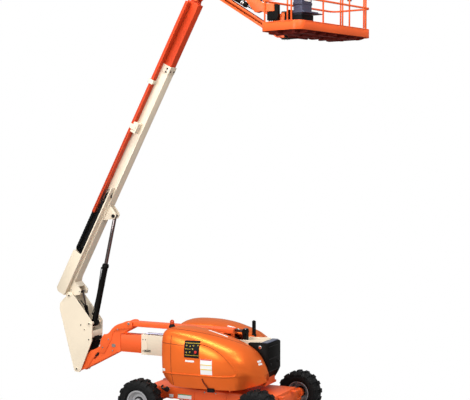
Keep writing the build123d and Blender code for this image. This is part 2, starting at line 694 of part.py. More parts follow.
# ---------------------------------------------------------------- main boom
ear_plate = 25.0
tray_out = 258.0
chain_in = 130.0  # the hose chain's inner and outer side, from the boom's middle
chain_out = 250.0
chain_link = 48.0  # depth of a link
chain_low = 132.0
chain_high = 246.0
tube_wall = 5.0
tube_depth = chain_link + 2 * slide_fit + 2 * tube_wall
tube_mid = chain_high + chain_link / 2
tube_guide_length = 80.0
tube_guide_at = boom_base_length - 460.0
with BuildPart() as boom_base:
    with BuildSketch(across(main_pivot, boom_angle, boom_base_start)):
        with Locations((0, boom_bottom + boom_depth / 2)):
            Rectangle(2 * boom_half_width, boom_depth)
    extrude(amount=boom_base_length - boom_base_start)
    with BuildSketch(across(main_pivot, boom_angle, 100)):
        with Locations((0, boom_bottom + boom_depth / 2)):
            Rectangle(2 * (boom_half_width - boom_wall), boom_depth - 2 * boom_wall)
    extrude(amount=boom_base_length, mode=Mode.SUBTRACT)
    for way in (-1, 1):
        with BuildSketch(along(main_pivot, boom_angle, way * (boom_half_width + ear_plate / 2))):
            with BuildLine():
                Polyline((-75, 40), (-20, 86), (420, 86), (290, 47), (215, -165), (125, -190), (30, -80),
                         close=True)
            make_face()
            Circle(85)
        extrude(amount=ear_plate / 2, both=True)
        with BuildSketch(along(main_pivot, boom_angle, way * (boom_half_width + ear_plate))):
            Circle(60)
        extrude(amount=-way * (upright_half_gap - boom_half_width - ear_plate - slide_fit))
        with BuildSketch(along(main_pivot, boom_angle, way * 60)):
            with BuildLine():
                Polyline((lift_eye_at - 190, boom_bottom + 1), (lift_eye_at - 70, lift_eye_up - 10),
                         (lift_eye_at - 30, lift_eye_up - 50), (lift_eye_at + 35, lift_eye_up - 50),
                         (lift_eye_at + 80, lift_eye_up - 15), (lift_eye_at + 165, boom_bottom + 1),
                         close=True)
            make_face()
        extrude(amount=way * -20)
    with BuildSketch(along(main_pivot, boom_angle)):
        with BuildLine():
            Polyline((250, -72), (290, 47), (272, 52), (232, -66), close=True)
        make_face()
    extrude(amount=boom_half_width + 1, both=True)
    with BuildSketch(along(main_pivot, boom_angle)):
        Circle(boom_pin_radius + pin_fit)
    extrude(amount=upright_half_gap, both=True, mode=Mode.SUBTRACT)
    with BuildSketch(across(main_pivot, boom_angle, boom_base_length - boom_collar)):
        with Locations((0, boom_bottom + boom_depth / 2)):
            Rectangle(2 * boom_half_width, boom_depth)
            Rectangle(2 * (fly_half_width + slide_fit), fly_depth + 2 * slide_fit, mode=Mode.SUBTRACT)
    extrude(amount=boom_collar)
    with BuildSketch(across(main_pivot, boom_angle, tube_guide_at)):
        with Locations((-(boom_half_width + tray_out) / 2, tube_mid)):
            Rectangle(tray_out - boom_half_width + 12, tube_depth + 32)
            Rectangle(tray_out - boom_half_width - 2, tube_depth + 24, mode=Mode.SUBTRACT)
    extrude(amount=tube_guide_length)
write(boom_base, "boom_base")

with BuildPart() as boom_fly:
    with BuildSketch(across(main_pivot, boom_angle, fly_start)):
        with Locations((0, boom_bottom + boom_depth / 2)):
            Rectangle(2 * fly_half_width, fly_depth)
            Rectangle(2 * (fly_half_width - fly_wall), fly_depth - 2 * fly_wall, mode=Mode.SUBTRACT)
    extrude(amount=fly_nose - 110 - fly_start)
    for way in (-1, 1):
        with BuildSketch(along(main_pivot, boom_angle, way * 70)):
            with BuildLine():
                Polyline((fly_nose - 240, 90), (fly_nose + 20, 150), (fly_nose + 20, 260),
                         (fly_nose - 240, 320), close=True)
            make_face()
            with Locations((fly_nose, boom_bottom + boom_depth / 2)):
                Circle(75)
                Circle(25 + pin_fit, mode=Mode.SUBTRACT)
        extrude(amount=10, both=True)
    with BuildSketch(across(main_pivot, boom_angle, fly_nose - 130)):
        with Locations((0, boom_bottom + boom_depth / 2)):
            Rectangle(2 * fly_half_width, fly_depth)
    extrude(amount=20)
write(boom_fly, "boom_fly")

# ---------------------------------------------------------------- hose chain and its push tube
chain_loop_at = 950.0
chain_run = 2800.0  # length of the upper run, most of it inside the push tube
tube_start = 1850.0
tube_end = fly_nose - 130.0
tube_bracket = 90.0
tray_length = 2540.0
with BuildPart() as tray:
    with BuildSketch(across(main_pivot, boom_angle, -40)):
        with Locations((-(boom_half_width + tray_out) / 2, 93)):
            Rectangle(tray_out - boom_half_width, 6)
        with Locations((-tray_out + 2, 104)):
            Rectangle(4, 28)
    extrude(amount=tray_length)
    with BuildSketch(along(main_pivot, boom_angle, -tray_out + 4)):
        with BuildLine():
            Polyline((-40, 90), (930, 90), (930, 320), (20, 320), (-40, 260), close=True)
        make_face()
    extrude(amount=4)
write(tray, "chain_tray")

with BuildPart() as chain_lower:
    with BuildSketch(across(main_pivot, boom_angle, 110)):
        with Locations((-(chain_in + chain_out) / 2, chain_low + 12)):
            Rectangle(chain_out - chain_in, 94)
        with Locations((-(chain_in + chain_out) / 2, chain_low + 34)):
            Rectangle(chain_out - chain_in - 24, 94, mode=Mode.SUBTRACT)
    extrude(amount=2050)
write(chain_lower, "chain_lower")

loop_mid = (chain_low + chain_high + chain_link) / 2
loop_out = (chain_high + chain_link - chain_low) / 2
with BuildPart() as chain_loop:
    with BuildSketch(along(main_pivot, boom_angle, -(chain_in + chain_out) / 2)):
        with Locations((chain_loop_at + loop_out, loop_mid)):
            Circle(loop_out)
            Circle(loop_out - chain_link, mode=Mode.SUBTRACT)
        with BuildLine():
            Polyline((chain_loop_at + loop_out, chain_low - 10),
                     (chain_loop_at + 3 * loop_out, chain_low - 10),
                     (chain_loop_at + 3 * loop_out, chain_high),
                     (chain_loop_at + loop_out, chain_high), close=True)
        make_face(mode=Mode.SUBTRACT)
        with BuildLine():
            Polyline((chain_loop_at + loop_out, chain_high),
                     (chain_loop_at + chain_run, chain_high),
                     (chain_loop_at + chain_run, chain_high + chain_link),
                     (chain_loop_at + loop_out, chain_high + chain_link), close=True)
        make_face()
    extrude(amount=(chain_out - chain_in) / 2 - 18, both=True)
write(chain_loop, "chain_loop")

with BuildPart() as push_tube:
    with BuildSketch(across(main_pivot, boom_angle, tube_start)):
        with Locations((-(chain_in + chain_out) / 2, tube_mid)):
            Rectangle(chain_out - chain_in + 8, tube_depth)
            Rectangle(chain_out - chain_in + 8 - 2 * tube_wall, tube_depth - 2 * tube_wall,
                      mode=Mode.SUBTRACT)
    extrude(amount=tube_end - tube_start)
    with BuildSketch(across(main_pivot, boom_angle, tube_end - tube_bracket - 10)):
        with Locations((-(fly_half_width + chain_in) / 2, tube_mid)):
            Rectangle(chain_in - fly_half_width - slide_fit, 60)
    extrude(amount=tube_bracket)
write(push_tube, "push_tube")

# ---------------------------------------------------------------- main lift and levelling cylinders
lift_barrel_length = 1265.0
lift_barrel_radius = 58.0
lift_rod_radius = 38.0
level_barrel_length = 480.0
level_rod_radius = 18.0
write(make_barrel(lift_foot, lift_eye, lift_barrel_length, lift_barrel_radius, lift_rod_radius,
                  70, 32, 75), "lift_barrel")
write(make_rod(lift_foot, lift_eye, lift_barrel_length, 150, lift_rod_radius, 40, 30), "lift_rod")
write(make_barrel(level_foot, level_eye, level_barrel_length, 34, level_rod_radius, 40, 18, 36),
      "level_barrel")
write(make_rod(level_foot, level_eye, level_barrel_length, 60, level_rod_radius, 26, 26), "level_rod")

# ---------------------------------------------------------------- jib
jib_plate = 20.0
jib_plate_in = jib_channel_half_width + 1.0
jib_cylinder_foot = (jib_low[0], jib_low[1] + 80.0)
jib_cylinder_eye = step(jib_high, jib_angle, 1450.0, -130.0)
jib_lug = 15.0
jib_lug_in = 45.0
with BuildPart() as jib_mount:
    for way in (-1, 1):
        with BuildSketch(side(way * (jib_plate_in + jib_plate / 2))):
            with BuildLine():
                Polyline((nose_pin[0] - 60, nose_pin[1] + 40), (jib_high[0] - 60, jib_high[1]),
                         (jib_high[0], jib_high[1] + 60), (jib_high[0] + 60, jib_high[1]),
                         (jib_low[0] + 62, jib_low[1]), (jib_low[0] + 20, jib_low[1] - 60),
                         (nose_pin[0] + 60, nose_pin[1] - 40), (nose_pin[0], nose_pin[1] - 60), close=True)
            make_face()
            with Locations(nose_pin, jib_low):
                Circle(70)
        extrude(amount=jib_plate / 2, both=True)
        with BuildSketch(side(way * (jib_plate_in + jib_plate))):
            with Locations(jib_low):
                Circle(jib_pin_radius)
        extrude(amount=way * (jib_plate + jib_channel_wall))
        with BuildSketch(side(way * (jib_lug_in + jib_lug / 2))):
            with BuildLine():
                Polyline(step(jib_low, 0, -155, -40), step(jib_low, 0, -105, 180), step(jib_low, 0, 0, 112),
                         step(jib_low, 0, 30, 80), step(jib_low, 0, 0, 48), close=True)
            make_face()
        extrude(amount=jib_lug / 2, both=True)
    with BuildSketch(side()):
        with Locations(jib_cylinder_foot):
            Circle(jib_pin_radius)
    extrude(amount=jib_lug_in + jib_lug, both=True)
    with BuildSketch(side()):
        with Locations(nose_pin):
            Circle(25)
        with Locations(jib_high):
            Circle(jib_pin_radius)
        with BuildLine():
            Polyline((nose_pin[0] - 20, nose_pin[1] + 150), (jib_high[0] - 58, jib_high[1] - 60),
                     (jib_high[0] - 38, jib_high[1] - 60), (nose_pin[0], nose_pin[1] + 150), close=True)
        make_face()
    extrude(amount=jib_plate_in + jib_plate, both=True)
write(jib_mount, "jib_mount")

with BuildPart() as jib_channel:
    with BuildSketch(across(jib_low, jib_angle, 0)):
        Rectangle(2 * jib_channel_half_width, jib_channel_depth)
        with Locations((0, jib_channel_wall)):
            Rectangle(2 * (jib_channel_half_width - jib_channel_wall), jib_channel_depth, mode=Mode.SUBTRACT)
    extrude(amount=jib_length)
    with BuildSketch(along(jib_low, jib_angle)):
        Circle(jib_channel_depth / 2)
        with Locations((jib_length, 0)):
            Circle(jib_channel_depth / 2)
    extrude(amount=jib_channel_half_width, both=True)
    with BuildSketch(along(jib_low, jib_angle)):
        Rectangle(400, 400)
        with Locations((jib_length, 0)):
            Rectangle(240, 400)
    extrude(amount=jib_channel_half_width - jib_channel_wall, both=True, mode=Mode.SUBTRACT)
    with BuildSketch(along(jib_low, jib_angle)):
        Circle(jib_pin_radius + pin_fit)
        with Locations((jib_length, 0)):
            Circle(jib_pin_radius + pin_fit)
    extrude(amount=200, both=True, mode=Mode.SUBTRACT)
write(jib_channel, "jib_lower_arm")

with BuildPart() as jib_box:  # open below, so that the cylinder can lie in it
    with BuildSketch(across(jib_high, jib_angle, 0)):
        Rectangle(2 * jib_box_half_width, jib_box_depth)
    extrude(amount=jib_length)
    with BuildSketch(across(jib_high, jib_angle, jib_box_end)):
        with Locations((0, -jib_box_wall)):
            Rectangle(2 * (jib_box_half_width - jib_box_wall), jib_box_depth, mode=Mode.ADD)
    extrude(amount=jib_length - 2 * jib_box_end, mode=Mode.SUBTRACT)
    for way in (-1, 1):
        with BuildSketch(along(jib_high, jib_angle, way * (jib_box_half_width - jib_box_wall / 2))):
            with BuildLine():
                Polyline((1180, -jib_box_depth / 2 + 1), (1410, -150), (1450, -165), (1490, -150),
                         (1560, -jib_box_depth / 2 + 1), close=True)
            make_face()
        extrude(amount=jib_box_wall / 2, both=True)
    with BuildSketch(along(jib_high, jib_angle)):
        for end, out in ((0, -1), (jib_length, 1)):
            with BuildLine():
                Polyline((end + out * 1, -jib_box_depth), (end + out * 1, jib_box_depth),
                         (end - out * 80, jib_box_depth), (end - out * 80, jib_box_depth / 2 + 1),
                         (end, 45), (end, -35), (end - out * 190, -jib_box_depth / 2 - 1),
                         (end - out * 190, -jib_box_depth), close=True)
            make_face()
    extrude(amount=2 * jib_box_half_width, both=True, mode=Mode.SUBTRACT)
    with BuildSketch(along(jib_high, jib_angle)):
        Circle(45)
        with Locations((jib_length, 0)):
            Circle(45)
    extrude(amount=jib_plate_in - slide_fit, both=True)
    with BuildSketch(along(jib_high, jib_angle)):
        Circle(jib_pin_radius + pin_fit)
        with Locations((jib_length, 0)):
            Circle(jib_pin_radius + pin_fit)
    extrude(amount=2 * jib_plate_in, both=True, mode=Mode.SUBTRACT)
write(jib_box, "jib_upper_arm")

jib_barrel_length = 1050.0
jib_rod_radius = 22.0
write(make_barrel(jib_cylinder_foot, jib_cylinder_eye, jib_barrel_length, 40, jib_rod_radius, 42,
                  jib_pin_radius, 40), "jib_barrel")
write(make_rod(jib_cylinder_foot, jib_cylinder_eye, jib_barrel_length, 560, jib_rod_radius, 30, 28),
      "jib_rod")

rotator_low = jib_low_end[1] - 60.0
rotator_high = jib_high_end[1] + 60.0
with BuildPart() as jib_head:
    for way in (-1, 1):
        with BuildSketch(side(way * (jib_plate_in + jib_plate / 2))):
            with BuildLine():
                Polyline(step(jib_low_end, 0, -50, -40), (rotator_x, rotator_low + 20),
                         (rotator_x, rotator_high - 20), (jib_high_end[0] - 60, rotator_high - 20),
                         close=True)
            make_face()
        extrude(amount=jib_plate / 2, both=True)
        with BuildSketch(side(way * (jib_plate_in + jib_plate))):
            with Locations(jib_low_end):
                Circle(jib_pin_radius)
        extrude(amount=way * (jib_plate + jib_channel_wall))
    with BuildSketch(side()):
        with Locations(jib_high_end):
            Circle(jib_pin_radius)
    extrude(amount=jib_plate_in + jib_plate, both=True)
    with BuildSketch(Plane.XY.offset(rotator_low)):
        with Locations((rotator_x, 0)):
            Circle(rotator_radius)
        with Locations((rotator_x - 20, 0)):
            Rectangle(60, 2 * (jib_plate_in + jib_plate))
    extrude(amount=rotator_high - rotator_low)
write(jib_head, "jib_head")

valve_y = -jib_plate_in - jib_plate - 45.0
with BuildPart() as valve_block:
    with BuildSketch(Plane.XY.offset(rotator_high - 140)):
        with Locations((rotator_x - 200, valve_y)):
            Rectangle(220, 90)
    extrude(amount=170)
    with BuildSketch(Plane.XY.offset(rotator_high + 30)):
        with Locations((rotator_x - 250, valve_y)):
            RectangleRounded(200, 90, 20)
    extrude(amount=140)
write(valve_block, "valve_block")

# ---------------------------------------------------------------- platform
turn = radians(platform_angle)
platform_x = rotator_x + platform_offset * cos(turn)
platform_y = platform_offset * sin(turn)
platform_z = jib_low_end[1] - platform_drop


def deck(height=0.0):
    """The platform's own floor plane, X outward from the rotator, Y along its long side."""
    return Plane(origin=(platform_x, platform_y, platform_z + height),
                 x_dir=(cos(turn), sin(turn), 0), z_dir=(0, 0, 1))


half_depth = platform_depth / 2
half_width = platform_width / 2
gate_low = -235.0
gate_high = 295.0
mid_rail = 560.0

with BuildPart() as floor:
    with BuildSketch(deck(20)):
        RectangleRounded(platform_depth - 14, platform_width - 14, corner_radius)
    extrude(amount=20)
    with BuildSketch(deck(-40)):
        with Locations((-150, 0), (220, 0)):
            Rectangle(70, platform_width - 260)
        with GridLocations(0, 700, 1, 3):
            Rectangle(platform_depth - 60, 60)
    extrude(amount=60)
write(floor, "platform_floor")

with BuildPart() as toe_board:
    with BuildSketch(deck()):
        RectangleRounded(platform_depth, platform_width, corner_radius)
        RectangleRounded(platform_depth - 12, platform_width - 12, corner_radius - 6, mode=Mode.SUBTRACT)
    extrude(amount=toe_height)
write(toe_board, "toe_board")

rail_in = rail_radius + 2
rail_x = half_depth - rail_in
rail_y = half_width - rail_in
posts = (
    (-rail_x, -350), (-rail_x, 350), (-rail_x, 855),
    (rail_x, -455), (rail_x, 430), (rail_x, rail_y - 200),
    (-half_depth + 120, -rail_y), (half_depth - 200, -rail_y),
    (gate_low - 25, rail_y), (gate_high + 25, rail_y),
)


def make_rails(name, way):
    """Half of the guard rail: inward of the platform's middle, or outward of it."""
    with BuildPart() as rails:
        for height in (mid_rail, rail_height - rail_radius):
            with BuildSketch(deck(height - rail_radius)):
                RectangleRounded(2 * (rail_x + rail_radius), 2 * (rail_y + rail_radius), corner_radius)
                RectangleRounded(2 * (rail_x - rail_radius), 2 * (rail_y - rail_radius),
                                 corner_radius - 2 * rail_radius, mode=Mode.SUBTRACT)
            extrude(amount=2 * rail_radius)
        with BuildSketch(deck(toe_height)):
            with Locations(*posts):
                Circle(rail_radius)
        extrude(amount=rail_height - toe_height - rail_radius)
        with BuildSketch(deck(mid_rail - 100)):
            with Locations(((gate_low + gate_high) / 2, rail_y)):
                Rectangle(gate_high - gate_low, 100)
        extrude(amount=rail_height, mode=Mode.SUBTRACT)
        with BuildSketch(deck()):
            with Locations((-way * half_depth, 0)):
                Rectangle(2 * half_depth, 2 * platform_width)
        extrude(amount=2 * rail_height, mode=Mode.SUBTRACT)
    write(rails, name)


make_rails("platform_rails_inner", -1)
make_rails("platform_rails_outer", 1)

with BuildPart() as gate:
    with BuildSketch(deck(mid_rail - rail_radius)):
        with Locations(((gate_low + gate_high - rail_radius) / 2, rail_y)):
            Rectangle(gate_high - gate_low - 2 * move_gap - rail_radius, 2 * rail_radius)
    extrude(amount=2 * rail_radius)
    with BuildSketch(deck(rail_height - 2 * rail_radius)):
        with Locations(((gate_low + gate_high - rail_radius) / 2, rail_y)):
            Rectangle(gate_high - gate_low - 2 * move_gap - rail_radius, 2 * rail_radius)
    extrude(amount=2 * rail_radius)
    with BuildSketch(deck(toe_height + 40)):
        with Locations((gate_low + 6 + rail_radius, rail_y), (gate_high - 6 - rail_radius, rail_y)):
            Circle(rail_radius)
    extrude(amount=rail_height - toe_height - 40)
    for height in (mid_rail - rail_radius, rail_height - 2 * rail_radius):
        with BuildSketch(deck(height)):
            with Locations((gate_high - 6 - rail_radius, rail_y)):
                Circle(rail_radius + 6 - slide_fit)
        extrude(amount=2 * rail_radius)
write(gate, "platform_gate")

console_y = -30.0
console_width = 340.0
console_depth = 210.0
console_x = -rail_x + rail_radius + 1 + console_depth / 2
with BuildPart() as console:
    with BuildSketch(deck(toe_height + 60)):
        with Locations((console_x, console_y)):
            RectangleRounded(console_depth, console_width, 30)
    extrude(amount=rail_height - toe_height - 160)
    with BuildSketch(deck(410)):
        with Locations((console_x + 25, console_y + 60)):
            RectangleRounded(console_depth + 50, console_width + 180, 30)
    extrude(amount=45)
    with BuildSketch(Plane(origin=deck().from_local_coords((0, console_y, 0)), x_dir=deck().x_dir,
                           z_dir=-deck().y_dir)):
        with BuildLine():
            Polyline((console_x - console_depth / 2, rail_height - 110),
                     (console_x - console_depth / 2, rail_height + 20), (console_x - 40, rail_height + 20),
                     (console_x + console_depth / 2 + 40, rail_height - 90),
                     (console_x + console_depth / 2 + 40, rail_height - 110), close=True)
        make_face()
    extrude(amount=console_width / 2 + 60, both=True)
write(console, "platform_console")

with BuildPart() as platform_mount:
    with BuildSketch(Plane.XY.offset(rotator_low - 24)):
        with Locations((rotator_x, 0)):
            Circle(rotator_radius)
    extrude(amount=24 - slide_fit)
    with BuildSketch(Plane.XY.offset(rotator_high + slide_fit)):
        with Locations((rotator_x, 0)):
            Circle(rotator_radius)
    extrude(amount=24 - slide_fit)
    for height in (rotator_low - 24 - platform_z, rotator_high + slide_fit - platform_z):
        with BuildSketch(deck(height)):
            with Locations((-(platform_offset + half_depth) / 2, 0)):
                Rectangle(platform_offset - half_depth, 150)
        extrude(amount=24 - slide_fit)
    with BuildSketch(deck(rotator_low - 24 - platform_z)):
        with Locations((-half_depth - 16, 0)):
            Rectangle(32, 520)
    extrude(amount=rotator_high - rotator_low + 48)
write(platform_mount, "platform_mount")
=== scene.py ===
import bpy
import bmesh
import json
import math
from mathutils import Matrix, Vector
from mathutils.bvhtree import BVHTree


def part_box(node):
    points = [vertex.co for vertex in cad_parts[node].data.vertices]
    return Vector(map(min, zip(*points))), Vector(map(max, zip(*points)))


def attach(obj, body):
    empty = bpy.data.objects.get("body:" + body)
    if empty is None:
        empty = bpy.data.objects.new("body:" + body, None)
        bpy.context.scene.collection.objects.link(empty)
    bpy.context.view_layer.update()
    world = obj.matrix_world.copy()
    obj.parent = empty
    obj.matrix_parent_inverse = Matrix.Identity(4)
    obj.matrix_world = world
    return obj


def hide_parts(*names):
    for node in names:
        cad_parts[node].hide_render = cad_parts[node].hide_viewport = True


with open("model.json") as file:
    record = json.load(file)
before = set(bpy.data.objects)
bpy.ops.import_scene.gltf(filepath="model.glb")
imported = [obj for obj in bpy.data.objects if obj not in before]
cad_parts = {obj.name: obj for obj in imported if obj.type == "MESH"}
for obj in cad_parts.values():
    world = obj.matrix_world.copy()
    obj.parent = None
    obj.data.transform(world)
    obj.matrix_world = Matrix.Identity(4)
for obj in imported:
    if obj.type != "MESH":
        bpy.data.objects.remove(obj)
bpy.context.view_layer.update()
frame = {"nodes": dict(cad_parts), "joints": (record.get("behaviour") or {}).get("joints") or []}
nodes = frame["nodes"]
print("frame loaded with", len(nodes), "nodes")

# how every finish drifts in colour, gathers dust and dimples
wear = {"driftScale": 1.3, "driftFrom": 0.35, "driftTo": 0.62, "patchScale": 7.0, "patchRoughness": 0.68,
        "dustHeight": 1.3, "dustAbove": 0.15, "dustFrom": 0.50, "dustTo": 0.78, "duller": 0.12,
        "glossier": 0.07, "leastRoughness": 0.05, "coatRoughness": 0.32, "dimple": 0.004}


def noiseNode(tree, place, scale, detail):
    noise = tree.nodes.new("ShaderNodeTexNoise")
    noise.inputs["Scale"].default_value = scale
    noise.inputs["Detail"].default_value = detail
    tree.links.new(place.outputs["Object"], noise.inputs["Vector"])
    return noise


def rangeNode(tree, source, fromRange, toRange):
    mapped = tree.nodes.new("ShaderNodeMapRange")
    mapped.inputs["From Min"].default_value, mapped.inputs["From Max"].default_value = fromRange
    mapped.inputs["To Min"].default_value, mapped.inputs["To Max"].default_value = toRange
    tree.links.new(source, mapped.inputs["Value"])
    return mapped.outputs["Result"]


def paint(name, colour, shade=0.82, gloss=0.3, coat=0.0, metallic=0.0, dust=0.12, grain=60.0,
          bumpAmount=0.06, dirtColour=(0.20, 0.15, 0.11), shine=0.30, glint=(1.0, 1.0, 1.0)):
    # a sprayed or moulded finish: slow colour drift, fine dimples, and dust in patches that gathers low down
    mat = bpy.data.materials.new(name)
    mat.use_nodes = True
    tree = mat.node_tree
    link = tree.links.new
    skin = tree.nodes["Principled BSDF"]
    skin.inputs["Metallic"].default_value = metallic
    skin.inputs["Coat Weight"].default_value = coat
    skin.inputs["Coat Roughness"].default_value = wear["coatRoughness"]
    skin.inputs["Specular IOR Level"].default_value = shine
    skin.inputs["Specular Tint"].default_value = (*glint, 1)
    place = tree.nodes.new("ShaderNodeTexCoord")
    drift = noiseNode(tree, place, wear["driftScale"], 5.0)
    ramp = tree.nodes.new("ShaderNodeValToRGB")
    ramp.color_ramp.elements[0].position = wear["driftFrom"]
    ramp.color_ramp.elements[0].color = (*[c * shade for c in colour], 1)
    ramp.color_ramp.elements[1].position = wear["driftTo"]
    ramp.color_ramp.elements[1].color = (*colour, 1)
    link(drift.outputs["Fac"], ramp.inputs["Fac"])
    patch = noiseNode(tree, place, wear["patchScale"], 9.0)
    patch.inputs["Roughness"].default_value = wear["patchRoughness"]
    split = tree.nodes.new("ShaderNodeSeparateXYZ")
    link(place.outputs["Object"], split.inputs["Vector"])
    low = rangeNode(tree, split.outputs["Z"], (0.0, wear["dustHeight"]), (1.0, wear["dustAbove"]))
    mask = rangeNode(tree, patch.outputs["Fac"], (wear["dustFrom"], wear["dustTo"]), (0.0, dust))
    both = tree.nodes.new("ShaderNodeMath")
    both.operation = "MULTIPLY"
    link(low, both.inputs[0])
    link(mask, both.inputs[1])
    mixed = tree.nodes.new("ShaderNodeMix")
    mixed.data_type = "RGBA"  # its colours go in at sockets 6 and 7
    mixed.inputs[7].default_value = (*dirtColour, 1)
    link(both.outputs[0], mixed.inputs[0])
    link(ramp.outputs["Color"], mixed.inputs[6])
    link(mixed.outputs[2], skin.inputs["Base Color"])
    roughest, smoothest = gloss + wear["duller"], max(gloss - wear["glossier"], wear["leastRoughness"])
    link(rangeNode(tree, patch.outputs["Fac"], (0.0, 1.0), (smoothest, roughest)), skin.inputs["Roughness"])
    peel = noiseNode(tree, place, grain, 3.0)
    bump = tree.nodes.new("ShaderNodeBump")
    bump.inputs["Strength"].default_value = bumpAmount
    bump.inputs["Distance"].default_value = wear["dimple"]
    link(peel.outputs["Fac"], bump.inputs["Height"])
    link(bump.outputs["Normal"], skin.inputs["Normal"])
    return mat


looks = {
    "orangePaint": dict(colour=(0.90, 0.122, 0.020), shade=0.90, gloss=0.38),
    "boomOrange": dict(colour=(0.58, 0.052, 0.013), shade=0.90, gloss=0.42, shine=0.12),
    "hoodShell": dict(colour=(0.90, 0.145, 0.026), shade=0.93, gloss=0.30, metallic=0.42, grain=35.0,
                      bumpAmount=0.03, dust=0.05, shine=1.0, glint=(1.0, 0.75, 0.10)),
    "creamPaint": dict(colour=(0.80, 0.69, 0.53), shade=0.94, gloss=0.36, coat=0.1, dust=0.08),
    "blackPaint": dict(colour=(0.0035, 0.003, 0.0025), gloss=0.48, dust=0.03, shine=0.08),
    "castIron": dict(colour=(0.012, 0.011, 0.011), gloss=0.5, grain=140.0, bumpAmount=0.35, shine=0.2),
    "rodChrome": dict(colour=(0.17, 0.145, 0.145), metallic=1.0, gloss=0.16, dust=0.05, grain=300.0,
                      bumpAmount=0.01),
    "zincSteel": dict(colour=(0.36, 0.35, 0.33), metallic=1.0, gloss=0.4),
    "deckMesh": dict(colour=(0.16, 0.014, 0.008), gloss=0.6, dust=0.10, shine=0.1),
    "greyPlastic": dict(colour=(0.052, 0.054, 0.090), gloss=0.42, coat=0.05, grain=220.0, bumpAmount=0.2),
    "blackPlastic": dict(colour=(0.005, 0.005, 0.006), gloss=0.48, grain=240.0, bumpAmount=0.25, shine=0.12),
    "seamShadow": dict(colour=(0.16, 0.022, 0.006), gloss=0.7),
    "hoseRubber": dict(colour=(0.011, 0.011, 0.012), gloss=0.5, grain=300.0, bumpAmount=0.15),
    "paleHose": dict(colour=(0.55, 0.57, 0.74), gloss=0.5, grain=300.0, bumpAmount=0.15),
    "plateWhite": dict(colour=(0.82, 0.82, 0.80), shade=0.97, gloss=0.35, coat=0.1, dust=0.04),
    "signYellow": dict(colour=(0.75, 0.50, 0.02), gloss=0.4, coat=0.1),
    "signGreen": dict(colour=(0.02, 0.36, 0.10), gloss=0.4, coat=0.1),
    "stopRed": dict(colour=(0.62, 0.02, 0.012), gloss=0.28, coat=0.4),
    "amberLens": dict(colour=(0.50, 0.055, 0.008), gloss=0.22, coat=0.2, dust=0.02),
    "coverBlue": dict(colour=(0.045, 0.055, 0.11), gloss=0.22, coat=0.5),
    "tyreRubber": dict(colour=(0.007, 0.007, 0.007), gloss=0.55, grain=180.0, bumpAmount=0.4, dust=0.10,
                       dirtColour=(0.045, 0.038, 0.032), shine=0.14),
    "rimSilver": dict(colour=(0.40, 0.40, 0.41), gloss=0.35, coat=0.2, metallic=0.3, dust=0.3),
}
finishes = {name: paint(name, **look) for name, look in looks.items()}
print("finishes made:", len(finishes))

wearing = {
    "orangePaint": ["chassis", "front_axle", "rear_axle", "knuckle_left", "knuckle_right", "turntable",
                    "tower_fly", "tower_extend_barrel", "jib_mount", "jib_lower_arm", "jib_upper_arm",
                    "jib_head", "toe_board", "platform_rails_inner", "platform_rails_outer",
                    "platform_gate"],
    "boomOrange": ["boom_fly", "push_tube"],
    "hoodShell": ["hood_left", "hood_right"],
    "creamPaint": ["tower_base", "upright", "boom_base", "chain_tray"],
    "blackPaint": ["slew_bearing", "counterweight", "tank", "tower_lift_barrel", "lift_barrel",
                   "level_barrel", "jib_barrel", "valve_block", "platform_mount"],
    "castIron": ["engine"],
    "blackPlastic": ["chain_lower", "chain_loop"],
    "rodChrome": ["tower_extend_rod", "tower_lift_rod", "lift_rod", "level_rod", "jib_rod"],
    "deckMesh": ["platform_floor"],
    "greyPlastic": ["platform_console"],
    "tyreRubber": ["tyre_front_left", "tyre_front_right", "tyre_rear_left", "tyre_rear_right"],
    "rimSilver": ["rim_front_left", "rim_front_right", "rim_rear_left", "rim_rear_right"],
}
arris = {"weld": 0.00002, "width": 0.003, "segments": 2, "sharperThan": 42}
for finish, names in wearing.items():
    for name in names:
        part = nodes[name]
        part.data.materials.clear()
        part.data.materials.append(finishes[finish])
        weld = part.modifiers.new("weld", "WELD")
        weld.merge_threshold = arris["weld"]
        edge = part.modifiers.new("edge", "BEVEL")  # the rounded arrises of flame-cut and folded plate
        edge.width = arris["width"]
        edge.segments = arris["segments"]
        edge.limit_method = "ANGLE"
        edge.angle_limit = math.radians(arris["sharperThan"])
        edge.harden_normals = True
        for face in part.data.polygons:
            face.use_smooth = True
print("nodes painted")


def joint(name):
    # where a joint's pin sits at rest
    return Vector(next(j for j in frame["joints"] if j["name"] == name)["pos_m"])


def pieceFrom(bm, name, finish, body, edge=0.0, soft=38):
    # turns finished geometry into a piece that moves with one body of the machine
    bmesh.ops.recalc_face_normals(bm, faces=bm.faces[:])
    mesh = bpy.data.meshes.new(name)
    bm.to_mesh(mesh)
    bm.free()
    made = bpy.data.objects.new(name, mesh)
    bpy.context.scene.collection.objects.link(made)
    mesh.materials.append(finishes[finish])
    for face in mesh.polygons:
        face.use_smooth = True
    mesh.set_sharp_from_angle(angle=math.radians(soft))
    if edge:
        trim = made.modifiers.new("edge", "BEVEL")
        trim.width = edge
        trim.segments = 2
        trim.limit_method = "ANGLE"
        trim.angle_limit = math.radians(38)
    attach(made, body)
    return made


def evenly(low, high, steps):
    return [low + (high - low) * k / steps for k in range(steps + 1)]


def paced(start, pitch, count):
    return [start + pitch * k for k in range(count)]


def circleOf(bm, centre, across, other, radius, sides):
    return [bm.verts.new(centre + (across * math.cos(t) + other * math.sin(t)) * radius)
            for t in (2 * math.pi * k / sides for k in range(sides))]


